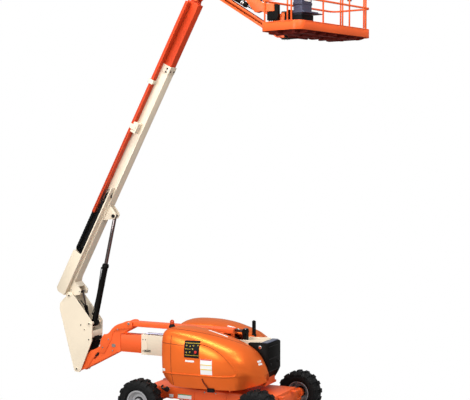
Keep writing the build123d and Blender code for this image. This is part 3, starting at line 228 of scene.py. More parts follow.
def turned(bm, place, way, profile, sides=24, ring=False):
    # a lathe-turned form: profile holds (distance along the axis, radius), and a ring has an open middle
    axis = Vector(way).normalized()
    across = axis.orthogonal().normalized()
    other = axis.cross(across)
    rings = []
    for along, radius in profile:
        centre = Vector(place) + axis * along
        if radius:
            rings.append(circleOf(bm, centre, across, other, radius, sides))
        else:
            rings.append([bm.verts.new(centre)])
    if ring:
        rings.append(rings[0])
    for near, far in zip(rings, rings[1:]):
        for k in range(sides):
            after = (k + 1) % sides
            corners = [near[k % len(near)], near[after % len(near)],
                       far[after % len(far)], far[k % len(far)]]
            bm.faces.new(list(dict.fromkeys(corners)))  # one corner fewer where a ring is a point
    for end in (rings[0], rings[-1]):
        if len(end) > 1 and not ring:
            bm.faces.new(end)


def slab(bm, place, xWay, yWay, outline, depth):
    # a flat form cut from sheet: outline in its own plane, depth shared by both sides of it
    right, up = Vector(xWay).normalized(), Vector(yWay).normalized()
    out = right.cross(up)
    layers = [[bm.verts.new(Vector(place) + right * x + up * y + out * side) for x, y in outline]
              for side in (-depth / 2, depth / 2)]
    count = len(outline)
    bm.faces.new(layers[0][::-1])
    bm.faces.new(layers[1])
    for k in range(count):
        after = (k + 1) % count
        bm.faces.new([layers[0][k], layers[0][after], layers[1][after], layers[1][k]])


def oblong(width, height):
    # a rectangle's corners, round its middle
    return [(x * width / 2, y * height / 2) for x, y in ((-1, -1), (1, -1), (1, 1), (-1, 1))]


def roundedOutline(width, height, radius, steps=4):
    # a rectangle whose corners are arcs
    outline = []
    for quarter, (sx, sy) in enumerate(((1, 1), (-1, 1), (-1, -1), (1, -1))):
        for k in range(steps + 1):
            t = math.radians(90 * quarter + 90 * k / steps)
            outline.append((sx * (width / 2 - radius) + radius * math.cos(t),
                            sy * (height / 2 - radius) + radius * math.sin(t)))
    return outline


def plateAt(bm, place, xWay, yWay, width, height, depth, radius):
    slab(bm, place, xWay, yWay, roundedOutline(width, height, radius), depth)


def smoothLine(spots, steps):
    # a smooth line through the points
    spots = [spots[0] * 2 - spots[1]] + spots + [spots[-1] * 2 - spots[-2]]
    line = []
    for a, b, c, d in zip(spots, spots[1:], spots[2:], spots[3:]):
        for k in range(steps):
            t = k / steps
            line.append(0.5 * (2 * b + (c - a) * t + (2 * a - 5 * b + 4 * c - d) * t * t
                               + (3 * b - 3 * c + d - a) * t ** 3))
    return line + [spots[-2]]


def curvePoints(points, steps=6):
    # the same in a plane
    return [(p.x, p.y) for p in smoothLine([Vector((*p, 0)) for p in points], steps)]


def hose(bm, points, radius, sides=10, steps=7):
    # a hose or bent bar: a round section swept along a smooth line through the points
    line = smoothLine([Vector(p) for p in points], steps)
    across = (line[1] - line[0]).orthogonal().normalized()
    rings = []
    for k, spot in enumerate(line):
        ahead = (line[min(k + 1, len(line) - 1)] - line[max(k - 1, 0)]).normalized()
        across = (across - ahead * across.dot(ahead)).normalized()
        rings.append(circleOf(bm, spot, across, ahead.cross(across), radius, sides))
    for near, far in zip(rings, rings[1:]):
        for k in range(sides):
            after = (k + 1) % sides
            bm.faces.new([near[k], near[after], far[after], far[k]])
    bm.faces.new(rings[0][::-1])
    bm.faces.new(rings[-1])


def bolt(bm, place, way, size=0.012):
    # a washer and a hexagon head
    axis = Vector(way).normalized()
    turned(bm, place, axis, [(-0.002, size * 1.5), (size * 0.25, size * 1.5), (size * 0.3, size * 1.4)], 18)
    turned(bm, Vector(place) + axis * size * 0.3, axis,
           [(0, size), (size * 0.75, size), (size * 0.9, size * 0.8)], 6)


def skinOf(part):
    # a piece's surface, to seat trim on it
    mesh = part.data
    return BVHTree.FromPolygons([v.co for v in mesh.vertices], [list(p.vertices) for p in mesh.polygons])


def pressOn(bm, skin, starts, towards, lift=0.002, thick=0.003):
    # a thin sheet that follows a curved surface: a grid of start points is pressed on along one direction
    towards = Vector(towards)
    grid = []
    for row in starts:
        line = []
        for start in row:
            spot, normal = skin.ray_cast(Vector(start), towards)[:2]
            if spot is None:
                line.append(None)
                continue
            if normal.dot(towards) > 0:
                normal = -normal
            line.append(bm.verts.new(spot + normal * lift))
        grid.append(line)
    sheet = []
    for low, high in zip(grid, grid[1:]):
        for k in range(len(low) - 1):
            corners = [low[k], low[k + 1], high[k + 1], high[k]]
            if None not in corners:
                sheet.append(bm.faces.new(corners))
    loose = [v for line in grid for v in line if v and not v.link_faces]
    bmesh.ops.delete(bm, geom=loose, context="VERTS")
    bmesh.ops.recalc_face_normals(bm, faces=sheet)
    bmesh.ops.solidify(bm, geom=sheet, thickness=thick)


def stripStarts(points, width, far):
    # start points for a narrow strip: far(x, z) lifts a flat point off the surface
    rows = []
    for k, (x, z) in enumerate(points):
        before, after = points[max(k - 1, 0)], points[min(k + 1, len(points) - 1)]
        dx, dz = after[0] - before[0], after[1] - before[1]
        size = math.hypot(dx, dz) or 1.0
        rows.append([far(x - dz / size * side, z + dx / size * side) for side in (-width / 2, width / 2)])
    return rows


machine = {"boomAngle": 62.5, "jibAngle": -32.5, "platformAngle": -13.0, "jibLength": 1.9}
mainPin = joint("main_lift")
jibHighPin, jibLowPin = joint("jib_lift"), joint("jib_lower_link")
sideWay, upWays, aheadX = Vector((0, 1, 0)), Vector((0, 0, 1)), Vector((1, 0, 0))


def leaning(angle):
    # the way along an arm at this angle, and the way square to it
    ahead = Vector((math.cos(math.radians(angle)), 0, math.sin(math.radians(angle))))
    return ahead, Vector((-ahead.z, 0, ahead.x))


boomAhead, boomUp = leaning(machine["boomAngle"])
jibAhead, jibUp = leaning(machine["jibAngle"])


def onBoom(along, up, y=0.0):
    # a point measured along the main boom from its pivot
    return mainPin + boomAhead * along + boomUp * up + sideWay * y


def onJib(pin, along, up, y=0.0):
    # the same along the jib, from the pin of either arm
    return pin + jibAhead * along + jibUp * up + sideWay * y


# hoods: moulded shells with a squared tail, a long falling nose and a tucked-in sill
hoodForm = {
    "inner": 0.304, "fall": 0.06, "flange": 0.05, "lip": 0.008, "wall": 0.012, "turn": 0.055,
    "roofBow": 0.85, "bulge": 0.022, "sillRise": 0.012, "sillEdge": (0.025, 0.004), "tuck": (0.032, 0.006),
    "footBow": 0.92, "footTurn": (0.02, 0.002), "stations": 110, "closeShare": 0.08, "roofSteps": 8,
    "shoulderSteps": 24, "flankSteps": 10, "footSteps": 6,
    "tailFrom": -0.43, "noseFrom": 0.48, "engineTail": 1.98, "engineNose": 0.74, "engineDrop": 0.045,
    # x, roof, crest y, widest y, height of the widest, sill, foot y, bottom, how square the shoulder is
    "sections": ((-0.80, 1.835, 0.66, 1.045, 1.35, 1.03, 0.980, 0.990, 5.0),
                 (-0.70, 1.878, 0.66, 1.085, 1.35, 1.03, 0.985, 0.890, 4.6),
                 (-0.60, 1.895, 0.65, 1.100, 1.35, 1.035, 0.985, 0.800, 4.2),
                 (-0.43, 1.898, 0.64, 1.115, 1.35, 1.04, 0.980, 0.768, 3.7),
                 (-0.15, 1.872, 0.63, 1.122, 1.34, 1.045, 0.980, 0.765, 3.2),
                 (0.10, 1.825, 0.62, 1.120, 1.32, 1.045, 0.975, 0.768, 2.8),
                 (0.48, 1.718, 0.58, 1.090, 1.26, 1.05, 0.955, 0.775, 2.4),
                 (0.80, 1.580, 0.52, 0.985, 1.20, 1.05, 0.870, 0.790, 2.2),
                 (0.98, 1.435, 0.46, 0.830, 1.14, 1.03, 0.690, 0.830, 2.1),
                 (1.09, 1.255, 0.41, 0.650, 1.07, 1.00, 0.560, 0.860, 2.0),
                 (1.155, 1.080, 0.37, 0.500, 0.99, 0.96, 0.450, 0.900, 2.0))}


def between(rows, x):
    # a row of the table at any x, smooth from one row to the next
    k = max(0, min(len(rows) - 2, sum(1 for row in rows[1:-1] if row[0] <= x)))
    a, b = rows[k], rows[k + 1]
    before, after = rows[max(k - 1, 0)], rows[min(k + 2, len(rows) - 1)]
    span = b[0] - a[0]
    t = (x - a[0]) / span
    made = []
    for c in range(1, len(a)):
        leaving = (b[c] - before[c]) / (b[0] - before[0]) * span
        arriving = (after[c] - a[c]) / (after[0] - a[0]) * span
        made.append(a[c] * (2 * t ** 3 - 3 * t ** 2 + 1) + leaving * (t ** 3 - 2 * t ** 2 + t)
                    + b[c] * (3 * t ** 2 - 2 * t ** 3) + arriving * (t ** 3 - t ** 2))
    return made


def hoodRing(x, inset, drop):
    # the outline of a hood across the machine, from the flange over the roof and down to the foot
    form = hoodForm
    roof, crest, widest, middle, sill, foot, bottom, square = between(form["sections"], x)
    roof -= drop + inset
    widest, foot, bottom = widest - inset, foot - inset, bottom + inset
    inner, edge = form["inner"], roof - form["fall"]
    ring = [(inner, edge - form["flange"]), (inner, edge - form["lip"]), (inner + form["lip"], edge)]
    for t in evenly(0, 1, form["roofSteps"])[1:-1]:
        ring.append((inner + (crest - inner) * t,
                     edge + (roof - edge) * math.sin(t * math.pi / 2) ** form["roofBow"]))
    for t in evenly(0, math.pi / 2, form["shoulderSteps"]):
        ring.append((crest + (widest - crest) * math.sin(t) ** (2 / square),
                     middle + (roof - middle) * math.cos(t) ** (2 / square)))
    for t in evenly(0, 1, form["flankSteps"])[1:]:
        ring.append((widest - form["bulge"] * t * t, middle + (sill + form["sillRise"] - middle) * t))
    ring.append((widest - form["sillEdge"][0], sill + form["sillEdge"][1]))
    tuckY, tuckZ = widest - form["tuck"][0], sill - form["tuck"][1]
    for t in evenly(0, 1, form["footSteps"]):
        ring.append((tuckY + (foot - tuckY) * t, tuckZ + (bottom - tuckZ) * t ** form["footBow"]))
    return ring + [(foot - form["footTurn"][0], bottom - form["footTurn"][1])]


def hoodShell(name, way, tail, nose, drop):
    # one hood's skin, swept along the machine and thickened inwards; tail and nose stretch its ends
    start, end = hoodForm["sections"][0][0], hoodForm["sections"][-1][0]
    turn, close = hoodForm["turn"], hoodForm["closeShare"]
    shell = bmesh.new()
    rings = []
    for share in evenly(0, 1, hoodForm["stations"]):
        x = start + (end - start) * (share if share > close else share * share / close)
        reach = max(0.0, turn - (x - start))
        inset = turn - math.sqrt(turn * turn - reach * reach)
        across = hoodRing(x, inset, drop)
        if x < hoodForm["tailFrom"]:
            x = hoodForm["tailFrom"] + tail * (x - hoodForm["tailFrom"])
        if x > hoodForm["noseFrom"]:
            x = hoodForm["noseFrom"] + nose * (x - hoodForm["noseFrom"])
        rings.append([shell.verts.new((x, way * y, z)) for y, z in across])
    for near, far in zip(rings, rings[1:]):
        for a, b, c, d in zip(near, near[1:], far[1:], far):
            shell.faces.new([a, b, c, d])
    for ring in (rings[0], rings[-1]):
        corner = shell.verts.new((ring[0].co.x, way * hoodForm["inner"], ring[-1].co.z))
        for a, b in zip(ring, ring[1:]):
            shell.faces.new([a, b, corner])
    made = pieceFrom(shell, name + "_shell", "hoodShell", name, soft=50)
    wall = made.modifiers.new("wall", "SOLIDIFY")
    wall.thickness = hoodForm["wall"]
    wall.offset = -1.0
    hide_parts(name)
    return made


hoodShells = {"hood_right": hoodShell("hood_right", -1, 1.0, 1.0, 0.0),
              "hood_left": hoodShell("hood_left", 1, hoodForm["engineTail"], hoodForm["engineNose"],
                                     hoodForm["engineDrop"])}
print("hood shells done")

# seams drawn as strips of painted shade, the raised border of each side panel with a strip of painted shadow
# under it, and the vents, all following the shells
hoodTrim = {"seam": 0.010, "borderShadow": 0.009, "roofSeamWidth": 0.012, "seamLift": 0.0012,
            "border": 0.026, "borderLift": 0.012, "borderThick": 0.014, "underBorder": 0.017,
            "upSeam": {"x": -0.555, "foot": 0.79, "pitch": 0.0265, "count": 38},
            "levelSeam": {"x": -0.79, "z": 1.622, "pitch": (0.04, -0.0016), "count": 14},
            "vents": {"x": -0.92, "step": 0.02, "steps": 9, "foot": 1.30, "pitch": 0.05, "count": 9,
                      "edges": (-0.010, 0.012), "lift": 0.0015},
            "roofSeam": ((-0.79, 0.90), (-0.55, 0.93), (-0.2, 0.90), (0.1, 0.83), (0.48, 0.70), (0.75, 0.55),
                         (0.9, 0.44)),
            "borderLine": ((0.02, 1.650), (0.10, 1.650), (0.28, 1.603), (0.47, 1.505), (0.65, 1.345),
                           (0.765, 1.195), (0.785, 1.115), (0.73, 1.066), (0.60, 1.052), (0.45, 1.048),
                           (-0.05, 1.046), (-0.77, 1.032))}


def sidePatch(bm, skin, way, across, heights, lift=0.002, thick=0.003):
    # a thin plate on a hood's side, bent to its surface: way is 1 on the left and -1 on the right
    pressOn(bm, skin, [[(x, way * 2.0, z) for z in heights] for x in across], (0, -way, 0), lift, thick)


def roofPatch(bm, skin, across, depths, lift=0.002, thick=0.003):
    # the same on a hood's roof
    pressOn(bm, skin, [[(x, y, 3.0) for y in depths] for x in across], (0, 0, -1), lift, thick)


nearSkin, farSkin = skinOf(hoodShells["hood_right"]), skinOf(hoodShells["hood_left"])
for nodeName, way, skin in (("hood_right", -1, nearSkin), ("hood_left", 1, farSkin)):

    def beside(x, z, way=way):
        return (x, way * 2.0, z)

    seams = bmesh.new()
    seam, level = hoodTrim["upSeam"], hoodTrim["levelSeam"]
    upLine = [(seam["x"], z) for z in paced(seam["foot"], seam["pitch"], seam["count"])]
    levelLine = list(zip(paced(level["x"], level["pitch"][0], level["count"]),
                         paced(level["z"], level["pitch"][1], level["count"])))
    half = hoodTrim["roofSeamWidth"] / 2
    roofLine = [[(x, way * (y + side), 3.0) for side in (-half, half)]
                for x, y in curvePoints(hoodTrim["roofSeam"])]
    line = curvePoints(hoodTrim["borderLine"])
    # painted shadow of the raised border: a dark strip just under its line
    borderShadowLine = [(x, z - hoodTrim["underBorder"]) for x, z in line]
    for starts, towards in ((stripStarts(upLine, hoodTrim["seam"], beside), (0, -way, 0)),
                            (stripStarts(levelLine, hoodTrim["seam"], beside), (0, -way, 0)),
                            (roofLine, (0, 0, -1)),
                            (stripStarts(borderShadowLine, hoodTrim["borderShadow"], beside), (0, -way, 0))):
        pressOn(seams, skin, starts, towards, hoodTrim["seamLift"])
    # the seam lines and the strip under the border are painted shade, in the dark seamShadow orange
    pieceFrom(seams, nodeName + "_seams", "seamShadow", nodeName)
    border = bmesh.new()
    pressOn(border, skin, stripStarts(line, hoodTrim["border"], beside), (0, -way, 0),
            hoodTrim["borderLift"], hoodTrim["borderThick"])
    pieceFrom(border, nodeName + "_panel_border", "hoodShell", nodeName, edge=0.004, soft=60)
vents = bmesh.new()
slot = hoodTrim["vents"]
for foot in paced(slot["foot"], slot["pitch"], slot["count"]):
    sidePatch(vents, farSkin, 1, paced(slot["x"], slot["step"], slot["steps"]),
              [foot + edge for edge in slot["edges"]], slot["lift"])
pieceFrom(vents, "hood_left_vents", "blackPlastic", "hood_left")
print("hood seams done")


def onNearSide(x, z):
    return nearSkin.ray_cast(Vector((x, -2, z)), Vector((0, 1, 0)))[0]


def onRoof(skin, x, y):
    return skin.ray_cast(Vector((x, y, 3)), Vector((0, 0, -1)))[0]


# ground controls on the near hood
control = {"left": -0.255, "right": 0.055, "bottom": 1.38, "top": 1.70, "steps": 8, "lift": 0.014,
           "thick": 0.018, "button": (0.0, 1.50), "line": 0.006, "lineLift": 0.0155, "collarOut": 0.012,
           "toggleOut": 0.018, "toggleLean": 0.25,
           # left, right, height of each yellow line
           "lines": ((-0.235, 0.065, 1.655), (-0.235, 0.065, 1.43), (-0.235, -0.12, 1.545)),
           "switches": ((-0.20, 1.61), (-0.13, 1.60), (-0.06, 1.61), (0.03, 1.62), (-0.20, 1.48),
                        (-0.13, 1.49), (-0.07, 1.55)),
           "collar": [(0, 0.013), (0.006, 0.013), (0.008, 0.010)],
           "toggle": [(0, 0.006), (0.012, 0.004), (0.024, 0.006), (0.03, 0.004), (0.031, 0)],
           "mushroom": [(0, 0.016), (0.018, 0.016), (0.02, 0.026), (0.03, 0.028), (0.036, 0.024),
                        (0.038, 0.0)]}
panel = bmesh.new()
sidePatch(panel, nearSkin, -1, evenly(control["left"], control["right"], control["steps"]),
          evenly(control["bottom"], control["top"], control["steps"]), control["lift"], control["thick"])
pieceFrom(panel, "ground_control_panel", "blackPlastic", "hood_right", edge=0.004)
bezel = bmesh.new()
for left, right, z in control["lines"]:
    steps = [(x, z) for x in evenly(left, right, control["steps"])]
    starts = stripStarts(steps, control["line"], lambda x, z: (x, -2.0, z))
    pressOn(bezel, nearSkin, starts, (0, 1, 0), control["lineLift"])
for x, z in control["switches"]:
    turned(bezel, onNearSide(x, z) - sideWay * control["collarOut"], -sideWay, control["collar"], 16)
pieceFrom(bezel, "ground_control_trim", "signYellow", "hood_right")
switches = bmesh.new()
for x, z in control["switches"]:
    turned(switches, onNearSide(x, z) - sideWay * control["toggleOut"], (0, -1, control["toggleLean"]),
           control["toggle"], 12)
pieceFrom(switches, "ground_control_switches", "zincSteel", "hood_right")
stop = bmesh.new()
turned(stop, onNearSide(*control["button"]) - sideWay * control["collarOut"], -sideWay,
       control["mushroom"], 28)
pieceFrom(stop, "ground_stop_button", "stopRed", "hood_right")

# plates on both hoods, bare but for a few lines across the largest
barePlate = {
    # left, bottom, right, top of each plate on the side
    "side": ((-0.235, 1.295, -0.045, 1.33), (0.085, 1.075, 0.325, 1.372), (-0.78, 1.07, -0.70, 1.12)),
    "nearRoof": (0.02, -0.60), "farRoof": (-0.06, 0.40), "roofHalf": 0.022, "roofPitch": 0.05,
    "nose": (1.235, 1.285), "noseY": (-0.60, -0.56, -0.52, -0.48), "noseRise": (0, 0.018, 0.036),
    "farSide": (0.115, 1.16), "farPitch": (0.04, 0.03),
    "lineX": (0.09, 0.13, 0.17, 0.21, 0.25, 0.29, 0.32), "bands": (1.175, 1.262), "bandHalf": 0.007,
    "header": 1.362, "headerHalf": 0.009, "lineLift": 0.0045, "lineThick": 0.0055}


def roofPlate(bm, skin, x, y):
    half = barePlate["roofHalf"]
    roofPatch(bm, skin, paced(x, barePlate["roofPitch"], 9), (y - half, y, y + half))


def plateLine(bm, middle, half):
    # a printed line that crosses the large plate
    sidePatch(bm, nearSkin, -1, barePlate["lineX"], (middle - half, middle, middle + half),
              barePlate["lineLift"], barePlate["lineThick"])


bare = bmesh.new()
for left, bottom, right, top in barePlate["side"]:
    sidePatch(bare, nearSkin, -1, evenly(left, right, 5), evenly(bottom, top, 5))
roofPlate(bare, nearSkin, *barePlate["nearRoof"])
for low in barePlate["nose"]:
    pressOn(bare, nearSkin, [[(3.0, y, low + rise) for rise in barePlate["noseRise"]]
                             for y in barePlate["noseY"]], (-1, 0, 0))
pieceFrom(bare, "near_hood_bare_plates", "plateWhite", "hood_right")
bands = bmesh.new()
for middle in barePlate["bands"]:
    plateLine(bands, middle, barePlate["bandHalf"])
pieceFrom(bands, "bare_plate_lines", "signYellow", "hood_right")
header = bmesh.new()
plateLine(header, barePlate["header"], barePlate["headerHalf"])
pieceFrom(header, "bare_plate_header", "stopRed", "hood_right")
bare = bmesh.new()
roofPlate(bare, farSkin, *barePlate["farRoof"])
sidePatch(bare, farSkin, 1, paced(barePlate["farSide"][0], barePlate["farPitch"][0], 6),
          paced(barePlate["farSide"][1], barePlate["farPitch"][1], 6))
pieceFrom(bare, "far_hood_bare_plates", "plateWhite", "hood_left")

beacon = {"x": -0.74, "y": -0.70, "sink": 0.004, "lensAt": 0.070,
          "cup": [(0, 0.064), (0.035, 0.060), (0.055, 0.048), (0.060, 0.043), (0.075, 0.043)],
          "lens": [(0, 0.043), (0.045, 0.042), (0.055, 0.040), (0.066, 0.034), (0.078, 0.022), (0.084, 0.0)]}
seat = onRoof(nearSkin, beacon["x"], beacon["y"])
cup = bmesh.new()
turned(cup, seat - upWays * beacon["sink"], upWays, beacon["cup"], 28)
pieceFrom(cup, "beacon_base", "blackPlastic", "hood_right", edge=0.002)
glass = bmesh.new()
turned(glass, seat + upWays * beacon["lensAt"], upWays, beacon["lens"], 28)
pieceFrom(glass, "beacon_lens", "amberLens", "hood_right")

grab = {"x": 0.515, "y": 0.42, "rise": 0.275, "spread": 0.020, "bar": 0.020, "sink": 0.02,
        "foot": [(-0.005, 0.034), (0.025, 0.032), (0.040, 0.022)]}
foot = onRoof(farSkin, grab["x"], grab["y"])
loop = bmesh.new()
arch = [(grab["spread"] * math.cos(t), grab["rise"] - grab["spread"] + grab["spread"] * math.sin(t))
        for t in (math.radians(k * 30) for k in range(7))]
arch = [(grab["spread"], -grab["sink"])] + arch + [(-grab["spread"], -grab["sink"])]
hose(loop, [foot + Vector((x, 0, z)) for x, z in arch], grab["bar"], 14)
for side in (-1, 1):
    turned(loop, foot + Vector((side * grab["spread"], 0, -grab["sink"])), upWays, grab["foot"], 20)
pieceFrom(loop, "far_hood_mirror_hoop", "blackPlastic", "hood_left")
print("hood fittings done")

# chassis and turntable fittings
chassisTrim = {"side": 0.520, "proud": 0.0015, "plateThick": 0.003, "plateCorner": 0.008,
               "edgeProud": 0.0035, "edgeCorner": 0.004, "ribProud": 0.001, "bolt": 0.010,
               "plates": ((-0.855, 0.455, 0.09, 0.09), (-0.56, 0.46, 0.30, 0.09)),
               "greenEdge": (-0.56, 0.511, 0.30, 0.014), "fold": (2.20, 0.04), "foldY": 0.512,
               "foldZ": 0.425, "ribs": (-1.02, -0.35, 0.35, 1.02), "ribZ": 0.51, "folded": 0.014,
               "rib": [(-0.075, -0.006), (0.075, -0.006), (0.06, 0.008), (-0.06, 0.008)],
               "bolts": (-1.02, -0.90, -0.12, 0.12, 0.90, 1.02), "boltZ": 0.60}
for sideName, way in (("right", -1), ("left", 1)):
    bare = bmesh.new()
    for x, z, width, height in chassisTrim["plates"]:
        plateAt(bare, (x, way * (chassisTrim["side"] + chassisTrim["proud"]), z), aheadX, upWays, width,
                height, chassisTrim["plateThick"], chassisTrim["plateCorner"])
    pieceFrom(bare, "chassis_bare_plates_" + sideName, "plateWhite", "chassis")
edgeBand = bmesh.new()
x, z, width, height = chassisTrim["greenEdge"]
plateAt(edgeBand, (x, -chassisTrim["side"] - chassisTrim["edgeProud"], z), aheadX, upWays, width, height,
        chassisTrim["plateThick"], chassisTrim["edgeCorner"])
pieceFrom(edgeBand, "chassis_plate_green_edge", "signGreen", "chassis")
folds = bmesh.new()
ribY = chassisTrim["side"] + chassisTrim["ribProud"]
for way in (-1, 1):
    slab(folds, (0, way * chassisTrim["foldY"], chassisTrim["foldZ"]), aheadX, sideWay,
         oblong(*chassisTrim["fold"]), chassisTrim["folded"])
    for x in chassisTrim["ribs"]:
        slab(folds, (x, way * ribY, chassisTrim["ribZ"]), upWays, sideWay, chassisTrim["rib"],
             chassisTrim["folded"])
pieceFrom(folds, "chassis_stiffeners", "orangePaint", "chassis", edge=0.002)
fixings = bmesh.new()
for way in (-1, 1):
    for x in chassisTrim["bolts"]:
        bolt(fixings, (x, way * ribY, chassisTrim["boltZ"]), (0, way, 0), chassisTrim["bolt"])
pieceFrom(fixings, "chassis_bolts", "zincSteel", "chassis")
slew = {"teeth": 84, "root": 0.472, "tip": 0.490, "low": 0.703, "high": 0.745}
teeth = bmesh.new()
ring = []
for k in range(slew["teeth"]):
    for share, radius in ((0.0, "root"), (0.3, "root"), (0.45, "tip"), (0.75, "tip")):
        t = 2 * math.pi * (k + share) / slew["teeth"]
        ring.append((slew[radius] * math.cos(t), slew[radius] * math.sin(t)))
slab(teeth, (0, 0, (slew["low"] + slew["high"]) / 2), aheadX, sideWay, ring, slew["high"] - slew["low"])
pieceFrom(teeth, "slew_ring_teeth", "castIron", "chassis")

skirt = {"x": (-0.38, 0.60), "y": 0.62, "z": 0.742, "half": 0.29, "top": 0.027, "inner": -0.030,
         "thick": 0.012}
hangers = bmesh.new()
for way in (-1, 1):
    half = way * skirt["half"]
    for x in skirt["x"]:
        slab(hangers, (x, way * skirt["y"], skirt["z"]), sideWay, upWays,
             [(-half, skirt["top"]), (half, skirt["top"]), (half, 0.0), (-half, skirt["inner"])],
             skirt["thick"])
pieceFrom(hangers, "turntable_skirt", "orangePaint", "turntable", edge=0.0015)
release = {"hookAt": (0.24, -0.975, 0.758), "hook": (0.145, 0.078, 0.05, 0.010), "bar": 0.011,
           "line": [(0.10, -1.075, 0.985), (0.125, -1.045, 0.90), (0.19, -1.01, 0.80)]}
hook = bmesh.new()
plateAt(hook, release["hookAt"], aheadX, upWays, *release["hook"])
pieceFrom(hook, "hood_latch", "blackPlastic", "turntable", edge=0.002)
lever = bmesh.new()
hose(lever, release["line"], release["bar"], 10)
pieceFrom(lever, "hood_release_lever", "seamShadow", "hood_right")

weight = {"face": 1.140, "joints": (1.06, 1.30, 1.54), "joint": (0.54, 0.016), "jointIn": 0.003,
          "capIn": 0.02, "capY": 0.20, "capZ": 1.20, "cap": [(0, 0.026), (0.032, 0.026), (0.038, 0.020)],
          "coverAt": (0.93, 0, 1.617), "thick": 0.012,
          "cover": [(0.05, -0.27), (0.17, -0.27), (0.19, -0.25), (0.19, 0.25), (0.17, 0.27), (0.05, 0.27)]}
slabs = bmesh.new()
for z in weight["joints"]:
    slab(slabs, (weight["face"] - weight["jointIn"], 0, z), sideWay, upWays, oblong(*weight["joint"]),
         weight["thick"])
for way in (-1, 1):
    turned(slabs, (weight["face"] - weight["capIn"], way * weight["capY"], weight["capZ"]), aheadX,
           weight["cap"], 20)
pieceFrom(slabs, "counterweight_joints", "castIron", "turntable", edge=0.002)
capTop = bmesh.new()
slab(capTop, weight["coverAt"], aheadX, sideWay, weight["cover"], weight["thick"])
pieceFrom(capTop, "counterweight_top_cover", "coverBlue", "turntable", edge=0.004)
hinge = {"y": 0.200, "thick": 0.016,
         "cheek": [(0.40, 1.44), (0.46, 1.628), (0.93, 1.648), (0.99, 1.632), (1.03, 1.56), (1.03, 1.44)],
         "blockAt": (0.52, 0, 1.685), "block": (0.085, 0.262, 0.125, 0.02), "pinAt": (0.52, -0.085, 1.755),
         "pin": [(0, 0.042), (0.17, 0.042)]}
cheeks = bmesh.new()
for way in (-1, 1):
    slab(cheeks, (0, way * hinge["y"], 0), aheadX, upWays, hinge["cheek"], hinge["thick"])
pieceFrom(cheeks, "tower_hinge_side_plates", "creamPaint", "turntable", edge=0.002)
anchor = bmesh.new()
plateAt(anchor, hinge["blockAt"], aheadX, upWays, *hinge["block"])
turned(anchor, hinge["pinAt"], sideWay, hinge["pin"], 28)
pieceFrom(anchor, "telescope_anchor", "blackPaint", "tower_base", edge=0.003)
sideLamp = {"x": 0.965, "y": -0.294, "z": 1.527, "lensOut": 0.010,
            "ring": [(0, 0.036), (0.008, 0.036), (0.012, 0.030)],
            "lens": [(0, 0.021), (0.005, 0.020), (0.010, 0.014), (0.012, 0)]}
lampSpot = Vector((sideLamp["x"], sideLamp["y"], sideLamp["z"]))
lampCup = bmesh.new()
turned(lampCup, lampSpot, -sideWay, sideLamp["ring"], 24)
pieceFrom(lampCup, "counterweight_lamp_ring", "zincSteel", "turntable")
lampGlass = bmesh.new()
turned(lampGlass, lampSpot - sideWay * sideLamp["lensOut"], -sideWay, sideLamp["lens"], 24)
pieceFrom(lampGlass, "counterweight_lamp_lens", "amberLens", "turntable")
outlet = {"at": (-0.95, -0.518, 0.593), "hose": 0.016,
          "body": [(0, 0.052), (0.02, 0.052), (0.03, 0.044), (0.06, 0.040), (0.066, 0.034)],
          "line": [(-0.95, -0.56, 0.593), (-1.02, -0.57, 0.60), (-1.06, -0.54, 0.64), (-1.05, -0.50, 0.655)]}
knob = bmesh.new()
turned(knob, outlet["at"], -sideWay, outlet["body"], 24)
hose(knob, outlet["line"], outlet["hose"], 12)
pieceFrom(knob, "chassis_hose_fitting", "hoseRubber", "chassis", edge=0.002)
print("turntable fittings done")

# wheels: sidewall rings, hub drive with its bolts, and the dish of the rim
wheel = {"radius": 0.434, "bead": 0.243, "fromMiddle": 1.25, "rings": ((0.262, 0.006), (0.318, 0.004)),
         "ringIn": 0.010, "ringDeep": 0.03, "ringProud": 0.004, "bolts": 6, "bolt": 0.006,
         "boltCircle": 0.048, "boltIn": 0.034, "hubIn": 0.16, "dishIn": 0.006,
         "hub": [(0, 0.105), (0.07, 0.105), (0.078, 0.098), (0.085, 0.098), (0.10, 0.072), (0.125, 0.068),
                 (0.13, 0.060)],
         "dish": [(-0.055, 0.165), (-0.075, 0.150), (-0.078, 0.110), (-0.090, 0.108), (-0.064, 0.170),
                  (-0.010, 0.225)]}


def outerFace(node, way):
    low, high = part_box(node)
    return high[1] if way > 0 else -low[1]


for end, endWay in (("front", 1), ("rear", -1)):
    for sideName, way in (("left", 1), ("right", -1)):
        place = end + "_" + sideName
        out = Vector((0, way, 0))
        centre = Vector((endWay * wheel["fromMiddle"], 0, wheel["radius"]))
        face, rimFace = outerFace("tyre_" + place, way), outerFace("rim_" + place, way)
        rings = bmesh.new()
        for radius, half in wheel["rings"]:
            turned(rings, centre + out * (face - wheel["ringIn"]), out,
                   [(-wheel["ringDeep"], radius - half), (0.0, radius - half), (wheel["ringProud"], radius),
                    (0.0, radius + half), (-wheel["ringDeep"], radius + half)], 48, True)
        pieceFrom(rings, "sidewall_rings_" + place, "tyreRubber", "wheel_" + place)
        hub = bmesh.new()
        turned(hub, centre + out * (rimFace - wheel["hubIn"]), out, wheel["hub"], 32)
        for k in range(wheel["bolts"]):
            t = 2 * math.pi * k / wheel["bolts"]
            around = Vector((math.cos(t), 0, math.sin(t))) * wheel["boltCircle"]
            bolt(hub, centre + out * (rimFace - wheel["boltIn"]) + around, out, wheel["bolt"])
        pieceFrom(hub, "wheel_hub_" + place, "castIron", "wheel_" + place, edge=0.0015)
        dish = bmesh.new()
        lip = [(0, wheel["bead"] - 0.012), (-0.006, wheel["bead"] - 0.030)]
        turned(dish, centre + out * (rimFace - wheel["dishIn"]), out, lip + wheel["dish"], 48, True)
        pieceFrom(dish, "rim_dish_" + place, "rimSilver", "wheel_" + place, edge=0.001)
print("wheel fittings done")
